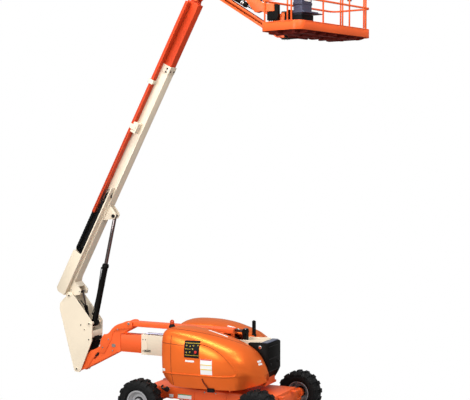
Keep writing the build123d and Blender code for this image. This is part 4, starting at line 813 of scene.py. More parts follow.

# upright: pin bolts, keeper plates, hoses, thin flat skins over its cut plates, the tube between them, and a
# dark sheet of painted shade inside
upright = {
    "half": 0.210, "boltOut": 0.222, "headShare": 0.42, "plateBolt": 0.010,
    "keeper": (0.105, 0.03, 0.007, 0.012), "keeperAt": (0.012, 0.2135),
    "pinRadii": {"upright_level": 0.030, "main_lift": 0.030, "lift_cylinder": 0.028,
                 "level_cylinder": 0.016},
    "plateBolts": ((-3.151, 1.684), (-2.958, 1.39), (-3.417, 2.288)),
    "hoseY": (-0.09, -0.06, -0.03, 0.09), "hose": 0.013, "clamps": ((-3.155, 1.20), (-3.055, 1.62)),
    "clamp": (0.37, 0.04, 0.012, 0.006), "skinY": 0.2108, "skin": 0.0012,
    # the cut plate's edge, measured from the main pin, then from the foot pin, then from the lift pin
    "crown": ((0.118, -0.016), (0.070, 0.020), (-0.072, -0.028), (-0.126, -0.064), (-0.226, -0.170),
              (-0.234, -0.300)),
    "toe": ((-0.082, 0.026), (-0.053, -0.056), (0.055, -0.066), (0.100, -0.009), (0.364, 0.606)),
    "shoulder": (0.068, 0.038),
    "tubeAt": (-2.93, 1.40), "tube": (0.19, 0.045), "tubeCollar": (0.09, 0.060),
    "shadeSheetY": 0.120, "shadeSheetThick": 0.005,
    "shadeSheet": [(-3.24, 1.00), (-3.06, 1.00), (-2.90, 1.26), (-2.88, 1.34), (-3.24, 1.34)]}
footPin, liftPin = joint("upright_level"), joint("lift_cylinder")
caps = bmesh.new()
for way in (-1, 1):
    out = Vector((0, way, 0))
    for pinName, radius in upright["pinRadii"].items():
        spot = joint(pinName)
        spot.y = way * upright["boltOut"]
        bolt(caps, spot, out, radius * upright["headShare"])
    for x, z in upright["plateBolts"]:
        bolt(caps, (x, way * upright["half"], z), out, upright["plateBolt"])
pieceFrom(caps, "upright_pin_bolts", "blackPlastic", "upright")
retain = bmesh.new()
ahead, y = upright["keeperAt"]
for way in (-1, 1):
    for pin in (mainPin, footPin, liftPin):
        plateAt(retain, (pin.x + ahead, way * y, pin.z), aheadX, upWays, *upright["keeper"])
pieceFrom(retain, "upright_keeper_plates", "creamPaint", "upright", edge=0.0015)
lines = bmesh.new()
for k, y in enumerate(upright["hoseY"]):
    hose(lines, [(-3.20, y, 0.95), (-3.17 + 0.01 * k, y, 1.15), (-3.06, y * 1.2, 1.40),
                 (-3.09 - 0.015 * k, y, 1.72), (-3.22, y, 2.0), (-3.33, y * 0.8, 2.16)], upright["hose"], 10)
pieceFrom(lines, "upright_hoses", "hoseRubber", "upright")
clampBar = bmesh.new()
for x, z in upright["clamps"]:
    plateAt(clampBar, (x, 0, z), sideWay, upWays, *upright["clamp"])
pieceFrom(clampBar, "upright_hose_clamps", "zincSteel", "upright", edge=0.001)
plateSkins = bmesh.new()
edgeLine = []
for pin, corners in ((mainPin, upright["crown"]), (footPin, upright["toe"]),
                     (liftPin, [upright["shoulder"]])):
    edgeLine += [(pin.x + x, pin.z + z) for x, z in corners]
for way in (-1, 1):
    slab(plateSkins, (0, way * upright["skinY"], 0), aheadX, upWays, edgeLine, upright["skin"])
pieceFrom(plateSkins, "upright_plate_skins", "creamPaint", "upright")
crossTube = bmesh.new()
for half, radius in (upright["tube"], upright["tubeCollar"]):
    turned(crossTube, (upright["tubeAt"][0], -half, upright["tubeAt"][1]), sideWay,
           [(0, radius), (half * 2, radius)], 28)
pieceFrom(crossTube, "upright_cross_tube", "blackPaint", "upright", edge=0.003)
# a dark sheet between the plates that stands for the shade inside the upright: painted shade, not a part
shadeSheet = bmesh.new()
slab(shadeSheet, (0, upright["shadeSheetY"], 0), aheadX, upWays, upright["shadeSheet"], upright["shadeSheetThick"])
pieceFrom(shadeSheet, "upright_inner_painted_shade", "castIron", "upright", edge=0.001)
print("upright done")

# tower: screws of the wear pads, end bands, hoses along its top, and the bolts and plugs of its sliding part
tower = {"half": 0.150, "middle": 1.365, "top": 1.565, "bottom": 1.165,
         "padScrews": ((-1.70, 1.475), (-1.64, 1.475), (-1.70, 1.245), (-1.64, 1.245)),
         "stripX": -1.60, "stripZ": (1.26, 1.235), "strip": (0.15, 0.01), "stripThick": 0.012,
         "stripOut": 0.008, "padScrew": 0.011, "topScrew": 0.012, "topScrewX": (-1.70, -1.60),
         "topScrewY": (-0.09, 0.09),
         "bandX": -1.675, "band": (0.13, 0.4), "thinBands": (-1.1, -0.2), "thinBand": (0.06, 0.4),
         "bandThick": 0.006, "topBand": (0.13, 0.306), "topBandThick": 0.008, "hoseY": -0.105,
         "hosePitch": 0.024, "hoses": 4, "hose": 0.009,
         "hoseRoute": ((0.55, 1.585), (0.0, 1.60), (-0.8, 1.588), (-1.35, 1.60), (-1.66, 1.59)),
         "flyBolts": ((-2.055, 1.775), (-2.30, 1.64), (-2.52, 1.42), (-2.66, 1.24), (-2.42, 1.19)),
         "flyPin": (-2.037, 1.775), "flyHalf": 0.157, "flyBolt": 0.010, "flyPinBolt": 0.018,
         "padAt": (-2.40, 0.1475, 1.30), "pad": (0.085, 0.065, 0.006, 0.02),
         "plugAt": (-2.80, 0.1555, 1.085), "plugLong": 0.062, "plugShort": 0.034, "plugLean": (0.77, 0.64),
         "plugThick": 0.003}
studs = bmesh.new()
for way in (-1, 1):
    for x, z in tower["padScrews"]:
        bolt(studs, (x, way * tower["half"], z), (0, way, 0), tower["padScrew"])
    for z in tower["stripZ"]:
        slab(studs, (tower["stripX"], way * (tower["half"] + tower["stripOut"]), z), aheadX, upWays,
             oblong(*tower["strip"]), tower["stripThick"])
for x in tower["topScrewX"]:
    for y in tower["topScrewY"]:
        bolt(studs, (x, y, tower["top"]), upWays, tower["topScrew"])
        bolt(studs, (x, y, tower["bottom"]), -upWays, tower["topScrew"])
pieceFrom(studs, "tower_pad_screws", "blackPlastic", "tower_base")
band = bmesh.new()
bandY = tower["half"] + tower["bandThick"] / 2
for way in (-1, 1):
    slab(band, (tower["bandX"], way * bandY, tower["middle"]), aheadX, upWays, oblong(*tower["band"]),
         tower["bandThick"])
    for x in tower["thinBands"]:
        slab(band, (x, way * bandY, tower["middle"]), aheadX, upWays, oblong(*tower["thinBand"]),
             tower["bandThick"])
slab(band, (tower["bandX"], 0, tower["top"] + tower["topBandThick"] / 2), aheadX, sideWay,
     oblong(*tower["topBand"]), tower["topBandThick"])
pieceFrom(band, "tower_end_bands", "creamPaint", "tower_base", edge=0.0015)
supply = bmesh.new()
for y in paced(tower["hoseY"], tower["hosePitch"], tower["hoses"]):
    hose(supply, [(x, y, z) for x, z in tower["hoseRoute"]], tower["hose"], 10)
pieceFrom(supply, "tower_top_hoses", "paleHose", "tower_base")
spade = bmesh.new()
for way in (-1, 1):
    for x, z in tower["flyBolts"]:
        bolt(spade, (x, way * tower["flyHalf"], z), (0, way, 0), tower["flyBolt"])
    x, z = tower["flyPin"]
    bolt(spade, (x, way * tower["flyHalf"], z), (0, way, 0), tower["flyPinBolt"])
pieceFrom(spade, "tower_fly_bolts", "zincSteel", "tower_fly")
patch = bmesh.new()
for way in (-1, 1):
    x, y, z = tower["padAt"]
    plateAt(patch, (x, way * y, z), aheadX, upWays, *tower["pad"])
pieceFrom(patch, "tower_fly_grey_pads", "zincSteel", "tower_fly", edge=0.001)
opening = bmesh.new()
leanX, leanZ = tower["plugLean"]
oval = []
for k in range(18):
    t = math.radians(k * 20)
    longWay, shortWay = tower["plugLong"] * math.cos(t), tower["plugShort"] * math.sin(t)
    oval.append((longWay * leanX - shortWay * leanZ, longWay * leanZ + shortWay * leanX))
for way in (-1, 1):
    x, y, z = tower["plugAt"]
    slab(opening, (x, way * y, z), aheadX, upWays, oval, tower["plugThick"])
pieceFrom(opening, "tower_fly_oval_plugs", "blackPlastic", "tower_fly")
print("tower done")

# cylinders: gland rings, ports, hoses and straps, sized from each barrel
cylinder = {"glandBack": 0.075, "portAt": 0.16, "portBack": 0.10, "portIn": 0.004, "hose": 0.009,
            # along the barrel, and how far out from its radius
            "gland": ((0, 0.006), (0.008, 0.013), (0.05, 0.013), (0.06, 0.006)),
            "strap": ((-0.012, -0.002), (-0.012, 0.003), (0.012, 0.003), (0.012, -0.002)),
            "strapShares": (0.35, 0.65), "hexSides": 6, "hoseStep": 0.04, "hoseBack": 0.16,
            "port": [(0, 0.022), (0.018, 0.022), (0.022, 0.017), (0.038, 0.017)],
            "liftLength": 1.265, "liftRadius": 0.058, "towerLength": 1.43, "towerRadius": 0.062,
            "jibLength": 1.05, "jibRadius": 0.040}


def dressCylinder(name, body, footPin, eye, length, radius):
    away = (eye - footPin).normalized()
    over = away.cross(sideWay).normalized()

    def beside(along, out):
        return footPin + away * along + over * (radius + out)

    kit = bmesh.new()
    turned(kit, footPin + away * (length - cylinder["glandBack"]), away,
           [(along, radius + out) for along, out in cylinder["gland"]], 32)
    for along in (cylinder["portAt"], length - cylinder["portBack"]):
        turned(kit, beside(along, -cylinder["portIn"]), over, cylinder["port"], cylinder["hexSides"])
    pieceFrom(kit, name + "_ports", "blackPaint", body, edge=0.001)
    feed = bmesh.new()
    hose(feed, [beside(cylinder["portAt"], 0.030), beside(cylinder["portAt"] + cylinder["hoseStep"], 0.026),
                beside(length * 0.5, 0.009), beside(length - cylinder["hoseBack"], 0.030),
                beside(length - cylinder["portBack"], 0.036)], cylinder["hose"], 10)
    pieceFrom(feed, name + "_hose", "hoseRubber", body)
    straps = bmesh.new()
    for share in cylinder["strapShares"]:
        turned(straps, footPin + away * (length * share), away,
               [(along, radius + out) for along, out in cylinder["strap"]], 32, True)
    pieceFrom(straps, name + "_straps", "blackPaint", body)


eyes = {"lift": (1.950, -0.110), "level": (0.165, -0.145), "jib": (1.450, -0.130), "tower": (-0.90, 0, 1.05),
        "levelBoss": [(0, 0.040), (0.010, 0.040), (0.012, 0.028)], "levelBossY": 0.125}
liftEye, levelEye = onBoom(*eyes["lift"]), onBoom(*eyes["level"])
jibCylinderPin, jibEye = joint("jib_cylinder"), onJib(jibHighPin, *eyes["jib"])
boss = bmesh.new()
for way in (-1, 1):
    turned(boss, (levelEye.x, way * eyes["levelBossY"], levelEye.z), (0, way, 0), eyes["levelBoss"], 24)
pieceFrom(boss, "level_eye_bosses", "blackPlastic", "boom_base")
dressCylinder("lift_cylinder", "lift_barrel", liftPin, liftEye, cylinder["liftLength"],
              cylinder["liftRadius"])
dressCylinder("tower_cylinder", "tower_lift_barrel", joint("tower_lift_cylinder"), Vector(eyes["tower"]),
              cylinder["towerLength"], cylinder["towerRadius"])
print("cylinders done")

# main boom: tip bolts and collar, guides of the outer tube, weld seams, heel bolts and the lift eye's caps
boom = {"half": 0.120, "low": 0.060, "high": 0.350, "middle": 0.205, "tip": 5.25, "ringAt": 4.83,
        "boxAt": 3.84, "tubeY": -0.19, "tipRows": (0.125, 0.055), "tipUps": (0.12, 0.29), "tipY": 0.07,
        "tipMiddle": 0.09, "tipBolt": 0.013, "collar": 0.15,
        "collarHigh": 0.296, "collarWide": 0.25, "sheet": 0.006, "seamUps": (0.092, 0.318), "seam": 0.005,
        "seamFrom": 0.05, "seamVia": 2.2, "seamBack": 0.16, "heelBolt": 0.009, "eyeCapY": 0.080,
        "eyeBoltY": 0.095, "eyeBolt": 0.010,
        "heelHalf": 0.145, "heelBolts": ((0.0, 0.0), (0.10, 0.045), (-0.035, 0.06), (0.17, -0.145)),
        "eyeCap": [(-0.002, 0.040), (0.012, 0.040), (0.016, 0.034)]}
tip = bmesh.new()
for way in (-1, 1):
    for back in boom["tipRows"]:
        for up in boom["tipUps"]:
            bolt(tip, onBoom(boom["tip"] - back, up, way * (boom["half"] + boom["sheet"])), (0, way, 0),
                 boom["tipBolt"])
for y in (-boom["tipY"], boom["tipY"]):
    along = boom["tip"] - boom["tipMiddle"]
    bolt(tip, onBoom(along, boom["high"] + boom["sheet"], y), boomUp, boom["tipBolt"])
    bolt(tip, onBoom(along, boom["low"] - boom["sheet"], y), -boomUp, boom["tipBolt"])
pieceFrom(tip, "boom_tip_bolts", "blackPlastic", "boom_base")
collar = bmesh.new()
collarAt = boom["tip"] - boom["collar"] / 2
for way in (-1, 1):
    slab(collar, onBoom(collarAt, boom["middle"], way * (boom["half"] + boom["sheet"] / 2)), boomAhead,
         boomUp, oblong(boom["collar"], boom["collarHigh"]), boom["sheet"])
for up in (boom["low"] - boom["sheet"] / 2, boom["high"] + boom["sheet"] / 2):
    slab(collar, onBoom(collarAt, up), boomAhead, sideWay, oblong(boom["collar"], boom["collarWide"]),
         boom["sheet"])
pieceFrom(collar, "boom_tip_collar", "creamPaint", "boom_base", edge=0.0015)
guides = bmesh.new()
# along, up, y from the tube, whether it lies flat, then width, height, depth and corner
for along, up, y, flat, sizes in (
        (boom["ringAt"], 0.322, 0.0, True, (0.09, 0.16, 0.010, 0.004)),
        (boom["ringAt"], 0.27, -0.076, False, (0.09, 0.11, 0.008, 0.004)),
        (boom["boxAt"], 0.185, 0.0, False, (0.22, 0.115, 0.138, 0.012)),
        (boom["boxAt"], 0.225, -0.074, False, (0.10, 0.13, 0.014, 0.006))):
    plateAt(guides, onBoom(along, up, boom["tubeY"] + y), boomAhead, sideWay if flat else boomUp, *sizes)
pieceFrom(guides, "push_tube_guides", "creamPaint", "boom_base", edge=0.002)
seam = bmesh.new()
for up in boom["seamUps"]:
    for way in (-1, 1):
        hose(seam, [onBoom(along, up, way * boom["half"])
                    for along in (boom["seamFrom"], boom["seamVia"], boom["tip"] - boom["seamBack"])],
             boom["seam"], 8, 4)
pieceFrom(seam, "boom_weld_seams", "creamPaint", "boom_base")
pegs = bmesh.new()
for way in (-1, 1):
    for along, up in boom["heelBolts"]:
        bolt(pegs, onBoom(along, up, way * boom["heelHalf"]), (0, way, 0), boom["heelBolt"])
pieceFrom(pegs, "boom_heel_bolts", "zincSteel", "boom_base")
eyeBolt = bmesh.new()
for way in (-1, 1):
    turned(eyeBolt, liftEye + sideWay * way * boom["eyeCapY"], (0, way, 0), boom["eyeCap"], 28)
    bolt(eyeBolt, liftEye + sideWay * way * boom["eyeBoltY"], (0, way, 0), boom["eyeBolt"])
pieceFrom(eyeBolt, "lift_eye_caps", "blackPlastic", "boom_base", edge=0.001)

# hose chain beside the boom: a lower run fixed to it, and a loop and upper run that slide
chain = {"pitch": 0.0600, "height": 0.046, "outer": 0.062, "low": 0.156, "high": 0.270, "loopAt": 1.031,
         "lowStart": 0.14, "lowEnd": 2.12, "highEnd": 3.72, "plate": 0.006, "turns": 5, "hose": 0.009,
         "pin": [(-0.002, 0.010), (0.003, 0.010), (0.005, 0.007)], "pinAhead": 0.36, "bar": 0.024,
         "barThick": 0.007, "barIn": 0.004, "hoses": 4, "hosePitch": 0.024, "endHoses": 3,
         "endHosePitch": 0.03, "endHose": 0.011, "wideHose": 0.010}
loopRadius = (chain["high"] - chain["low"]) / 2
loopUp = (chain["high"] + chain["low"]) / 2
linkPlate = [(x * 1.02, y) for x, y in roundedOutline(chain["pitch"] * 1.12, chain["height"], 0.018, 2)]


def onLoop(t, radius, y):
    # a point on the chain's turn: t runs from the upper run to the lower, radius is how far it bows out
    return onBoom(chain["loopAt"] + radius * math.cos(t), loopUp + loopRadius * math.sin(t), y)


def chainLink(bm, centre, ahead, up):
    # two side plates with rounded ends and the cross bars that hold the hoses in
    for way in (-1, 1):
        slab(bm, centre + sideWay * way * (chain["outer"] - chain["plate"] / 2), ahead, up, linkPlate,
             chain["plate"])
        turned(bm, centre + sideWay * way * chain["outer"] + ahead * chain["pitch"] * chain["pinAhead"],
               sideWay * way, chain["pin"], 8)
    for level in (-1, 1):
        slab(bm, centre + up * level * (chain["height"] / 2 - chain["barIn"]), ahead, sideWay,
             oblong(chain["bar"], chain["outer"] * 2), chain["barThick"])


lowRun = bmesh.new()
for k in range(int((chain["lowEnd"] - chain["lowStart"]) / chain["pitch"])):
    chainLink(lowRun, onBoom(chain["lowStart"] + k * chain["pitch"], chain["low"], boom["tubeY"]), boomAhead,
              boomUp)
pieceFrom(lowRun, "hose_chain_lower_links", "blackPlastic", "boom_base")
highRun = bmesh.new()
for k in range(int((chain["highEnd"] - chain["loopAt"]) / chain["pitch"])):
    along = chain["loopAt"] + (k + 0.5) * chain["pitch"]
    chainLink(highRun, onBoom(along, chain["high"], boom["tubeY"]), boomAhead, boomUp)
for k in range(chain["turns"]):
    t = math.pi / 2 + math.pi * (k + 0.5) / chain["turns"]
    along = boomAhead * -math.sin(t) + boomUp * math.cos(t)
    chainLink(highRun, onLoop(t, loopRadius, boom["tubeY"]), along, along.cross(sideWay))
pieceFrom(highRun, "hose_chain_loop_links", "blackPlastic", "chain_loop")
inside = bmesh.new()
firstHose = boom["tubeY"] - chain["hosePitch"] * (chain["hoses"] - 1) / 2
for y in paced(firstHose, chain["hosePitch"], chain["hoses"]):
    path = [onBoom(along, chain["high"], y) for along in (3.70, 2.4, chain["loopAt"] + 0.1)]
    path += [onLoop(t, loopRadius - 0.004, y) for t in evenly(math.pi / 2, math.pi * 3 / 2, 6)]
    hose(inside, path, chain["hose"], 8, 5)
pieceFrom(inside, "hose_chain_hoses", "hoseRubber", "chain_loop")
loops = bmesh.new()
for k in range(chain["endHoses"]):
    y = boom["tubeY"] + chain["endHosePitch"] * (k - 1)
    hose(loops, [onBoom(2.02, chain["low"] + 0.012, y), onBoom(2.22, chain["low"] + 0.015, y),
                 onBoom(2.33 + 0.02 * k, 0.17, y), onBoom(2.36 + 0.02 * k, 0.12, y + 0.01),
                 onBoom(2.28, 0.075, -0.135)], chain["endHose"], 10)
hose(loops, [onBoom(2.10, 0.19, -0.235), onBoom(2.28, 0.215, -0.26), onBoom(2.40, 0.19, -0.25),
             onBoom(2.43, 0.12, -0.2), onBoom(2.36, 0.09, -0.14)], chain["wideHose"], 10)
pieceFrom(loops, "chain_end_hoses", "hoseRubber", "boom_base")
print("main boom done")

# boom nose and jib: pin caps, hoses along the arms, cylinder dressing
jib = {"capLarge": [(0, 0.034), (0.008, 0.034), (0.011, 0.030)],
       "capSmall": [(0, 0.032), (0.008, 0.032), (0.011, 0.028)], "narrow": 0.106, "wide": 0.120,
       "hosePitch": 0.024, "hose": 0.010, "trayPitch": 0.030, "trayHose": 0.011,
       "saddles": (0.35, 0.95, 1.50), "saddleY": 0.058, "saddleTop": (0.05, 0.124, 0.006, 0.008),
       "saddleSide": (0.05, 0.028, 0.006, 0.003), "bands": (0.92, 0.96, 1.00),
       "band": [(-0.012, 0.041), (-0.012, 0.046), (0.012, 0.046), (0.012, 0.041)],
       "capIn": 0.004, "boltOut": 0.006, "noseBolt": 0.013, "mountBolt": 0.012, "headBolt": 0.011,
       "hoses": 4, "hoseFrom": -0.036, "trayHoses": 3, "trayFrom": 0.030}


def capPin(bm, spot, reach, profile, size):
    # a cap and a bolt on both ends of a pin
    for way in (-1, 1):
        out = Vector((0, way, 0))
        turned(bm, spot + out * (reach - jib["capIn"]), out, profile, 28)
        bolt(bm, spot + out * (reach + jib["boltOut"]), out, size)


nosePin = joint("nose_level")
jibEndHigh, jibEndLow = onJib(jibHighPin, machine["jibLength"], 0), onJib(jibLowPin, machine["jibLength"], 0)
dressCylinder("jib_cylinder", "jib_barrel", jibCylinderPin, jibEye, cylinder["jibLength"],
              cylinder["jibRadius"])
jibCaps = bmesh.new()
for spot, reach, size in ((nosePin, jib["narrow"], jib["noseBolt"]),
                          (jibHighPin, jib["narrow"], jib["mountBolt"]),
                          (jibLowPin, jib["wide"], jib["mountBolt"])):
    capPin(jibCaps, spot, reach, jib["capLarge"], size)
pieceFrom(jibCaps, "jib_mount_pin_caps", "blackPlastic", "jib_mount")
headCaps = bmesh.new()
for spot, reach in ((jibEndLow, jib["wide"]), (jibEndHigh, jib["narrow"])):
    capPin(headCaps, spot, reach, jib["capSmall"], jib["headBolt"])
pieceFrom(headCaps, "jib_head_pin_caps", "blackPlastic", "jib_head")
runs = bmesh.new()
for y in paced(jib["hoseFrom"], jib["hosePitch"], jib["hoses"]):
    hose(runs, [onJib(jibHighPin, 0.06, 0.060, y), onJib(jibHighPin, 0.16, 0.088, y),
                onJib(jibHighPin, 0.9, 0.086, y), onJib(jibHighPin, 1.62, 0.088, y),
                onJib(jibHighPin, 1.80, 0.105, y - 0.02), onJib(jibHighPin, 1.86, 0.075, y - 0.03)],
         jib["hose"], 10)
pieceFrom(runs, "jib_top_hoses", "hoseRubber", "jib_upper_arm")
saddles = bmesh.new()
for along in jib["saddles"]:
    plateAt(saddles, onJib(jibHighPin, along, 0.100), jibAhead, sideWay, *jib["saddleTop"])
    for y in (-jib["saddleY"], jib["saddleY"]):
        plateAt(saddles, onJib(jibHighPin, along, 0.086, y), jibAhead, jibUp, *jib["saddleSide"])
pieceFrom(saddles, "jib_hose_saddles", "zincSteel", "jib_upper_arm", edge=0.001)
belly = bmesh.new()
for y in paced(jib["trayFrom"], -jib["trayPitch"], jib["trayHoses"]):
    hose(belly, [onJib(jibLowPin, 0.26, -0.02, y), onJib(jibLowPin, 0.5, -0.030, y),
                 onJib(jibLowPin, 1.2, -0.030, y), onJib(jibLowPin, 1.62, -0.02, y)], jib["trayHose"], 10)
pieceFrom(belly, "jib_tray_hoses", "hoseRubber", "jib_lower_arm")
gland = bmesh.new()
jibRodWay = (jibEye - jibCylinderPin).normalized()
for along in jib["bands"]:
    turned(gland, jibCylinderPin + jibRodWay * along, jibRodWay, jib["band"], 32)
pieceFrom(gland, "jib_cylinder_bands", "zincSteel", "jib_barrel")
print("jib done")

# valve block at the jib's head with its cover and hoses, and the rotator's bolts and sleeve
rotatorX = joint("platform_rotate").x
valve = {"x": rotatorX - 0.20, "y": -0.151, "low": 7.81, "middle": 7.977, "top": 8.117,
         "cover": (0.190, 0.104), "first": -0.085, "pitch": 0.042, "count": 5, "hose": 0.010,
         "section": (0.036, 0.15, 0.108, 0.006),
         "coil": [(0, 0.014), (0.022, 0.014), (0.026, 0.009), (0.04, 0.009)],
         "endBlock": (0.07, 0.25, 0.10, 0.008), "endBlockZ": 7.985, "proud": 0.006,
         "coverX": -0.05, "coverCorner": 0.024, "sectionY": -0.004, "coilIn": 0.002}
rotator = {"bolts": 8, "bolt": 0.008, "circle": 0.066, "levels": ((7.972, 1), (7.449, -1)), "inside": 0.0905,
           "outside": 0.0945, "gap": 0.003}
cover = bmesh.new()
coverZ = (valve["middle"] + valve["top"] + valve["proud"]) / 2
plateAt(cover, (valve["x"] + valve["coverX"], valve["y"], coverZ), aheadX, sideWay, *valve["cover"],
        valve["top"] - valve["middle"] + valve["proud"] * 2, valve["coverCorner"])
pieceFrom(cover, "valve_cover", "orangePaint", "jib_head", edge=0.006)
stack = bmesh.new()
valveXs = paced(valve["x"] + valve["first"], valve["pitch"], valve["count"])
for x in valveXs:
    plateAt(stack, (x, valve["y"] + valve["sectionY"], (valve["low"] + valve["middle"]) / 2), aheadX,
            upWays, *valve["section"])
    turned(stack, (x, valve["y"], valve["low"] + valve["coilIn"]), -upWays, valve["coil"], 12)
plateAt(stack, (valve["x"] - valve["first"], valve["y"] + valve["sectionY"], valve["endBlockZ"]), aheadX,
        upWays, *valve["endBlock"])
pieceFrom(stack, "valve_sections", "blackPaint", "jib_head", edge=0.002)
whips = bmesh.new()
for k, x in enumerate(valveXs):
    hose(whips, [(x, valve["y"], valve["low"] - 0.03),
                 (x + 0.01, valve["y"] - 0.01, valve["low"] - 0.12 - 0.015 * k),
                 (x + 0.06, valve["y"] + 0.02, valve["low"] - 0.17 - 0.02 * k),
                 (rotatorX - 0.04, -0.115, 7.62)], valve["hose"], 10)
pieceFrom(whips, "valve_hoses", "hoseRubber", "jib_head")
rotorBolts = bmesh.new()
for k in range(rotator["bolts"]):
    t = 2 * math.pi * k / rotator["bolts"]
    x, y = rotatorX + rotator["circle"] * math.cos(t), rotator["circle"] * math.sin(t)
    for level, way in rotator["levels"]:
        bolt(rotorBolts, (x, y, level), (0, 0, way), rotator["bolt"])
pieceFrom(rotorBolts, "rotator_bolts", "zincSteel", "platform")
headLow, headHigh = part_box("jib_head")
sleeve = bmesh.new()
rise = headHigh[2] - headLow[2] - rotator["gap"] * 2
turned(sleeve, (rotatorX, 0, headLow[2] + rotator["gap"]), upWays,
       [(0, rotator["inside"]), (rise, rotator["inside"]), (rise, rotator["outside"]),
        (0, rotator["outside"])], 40, True)
pieceFrom(sleeve, "rotator_sleeve", "blackPaint", "jib_head")

# platform: everything below is measured from its middle, outward and along its long side
platform = {"reach": 0.72, "floorUnderPin": 0.0446, "toe": 0.165, "mid": 0.560, "rail": 1.100, "bar": 0.016,
            "railX": 0.437, "railY": 1.202, "meshPitch": (0.1, 0.05), "crossWires": 23,
            "crossWireZ": 0.043, "longWires": 17, "longWireZ": 0.045, "crossWire": (0.84, 0.008),
            "longWire": (2.36, 0.008), "wire": 0.006,
            "posts": ((-1, -0.35), (-1, 0.35), (-1, 0.855), (1, -0.455), (1, 0.43), (1, 1.00)),
            "socketUnder": 0.06, "socket": [(0, 0.021), (0.062, 0.021), (0.066, 0.018)],
            "socketPlate": (0.07, 0.08, 0.026, 0.006), "socketProud": 0.0031, "collarUnder": 0.022,
            "collar": [(0, 0.0165), (0.006, 0.019), (0.038, 0.019), (0.044, 0.0165)],
            "beadZ": 0.160, "bead": 0.006, "longBead": (0.4565, 1.05), "crossBead": (0.29, 1.2215),
            "ribs": (-0.95, -0.35, 0.35, 0.95), "ribZ": -0.012, "ribThick": 0.010,
            "rib": [(-0.43, -0.02), (-0.36, -0.036), (0.36, -0.036), (0.43, -0.02), (0.43, 0.012),
                    (-0.43, 0.012)],
            "backRibAt": (-0.44, -0.025), "backRibThick": 0.02,
            "backRib": [(-0.30, -0.02), (0.30, -0.02), (0.36, 0.02), (-0.36, 0.02)]}
turn = math.radians(machine["platformAngle"])
outward = Vector((math.cos(turn), math.sin(turn), 0))
lengthway = Vector((-math.sin(turn), math.cos(turn), 0))
platformMiddle = (Vector((rotatorX, 0, jibEndLow.z - platform["floorUnderPin"]))
                  + outward * platform["reach"])


def onDeck(x, y, z=0.0):
    return platformMiddle + outward * x + lengthway * y + Vector((0, 0, z))


mesh = bmesh.new()
crossPitch, longPitch = platform["meshPitch"]
for k in range(platform["crossWires"]):
    y = crossPitch * (k - platform["crossWires"] // 2)
    slab(mesh, onDeck(0, y, platform["crossWireZ"]), outward, upWays, oblong(*platform["crossWire"]),
         platform["wire"])
for k in range(platform["longWires"]):
    x = longPitch * (k - platform["longWires"] // 2)
    slab(mesh, onDeck(x, 0, platform["longWireZ"]), lengthway, upWays, oblong(*platform["longWire"]),
         platform["wire"])
pieceFrom(mesh, "platform_floor_mesh", "deckMesh", "platform")
sockets = bmesh.new()
socketX = platform["railX"] + platform["socketProud"]
for side, y in platform["posts"]:
    level = platform["toe"] - platform["socketUnder"]
    turned(sockets, onDeck(side * platform["railX"], y, level), upWays, platform["socket"], 20)
    plateAt(sockets, onDeck(side * socketX, y, level), lengthway, upWays, *platform["socketPlate"])
pieceFrom(sockets, "rail_sockets", "orangePaint", "platform", edge=0.0015)
saddle = bmesh.new()
for side, y in platform["posts"]:
    for level in (platform["mid"], platform["rail"] - platform["bar"]):
        turned(saddle, onDeck(side * platform["railX"], y, level - platform["collarUnder"]), upWays,
               platform["collar"], 20)
pieceFrom(saddle, "rail_weld_collars", "orangePaint", "platform")
rim = bmesh.new()
for way in (-1, 1):
    x, reach = platform["longBead"]
    hose(rim, [onDeck(way * x, y, platform["beadZ"]) for y in (-reach, 0, reach)], platform["bead"], 8, 3)
    reach, y = platform["crossBead"]
    hose(rim, [onDeck(x, way * y, platform["beadZ"]) for x in (-reach, 0, reach)], platform["bead"], 8, 3)
pieceFrom(rim, "toe_board_bead", "orangePaint", "platform")
under = bmesh.new()
for y in platform["ribs"]:
    slab(under, onDeck(0, y, platform["ribZ"]), outward, upWays, platform["rib"], platform["ribThick"])
x, z = platform["backRibAt"]
slab(under, onDeck(x, 0, z), lengthway, upWays, platform["backRib"], platform["backRibThick"])
pieceFrom(under, "platform_under_ribs", "deckMesh", "platform", edge=0.001)

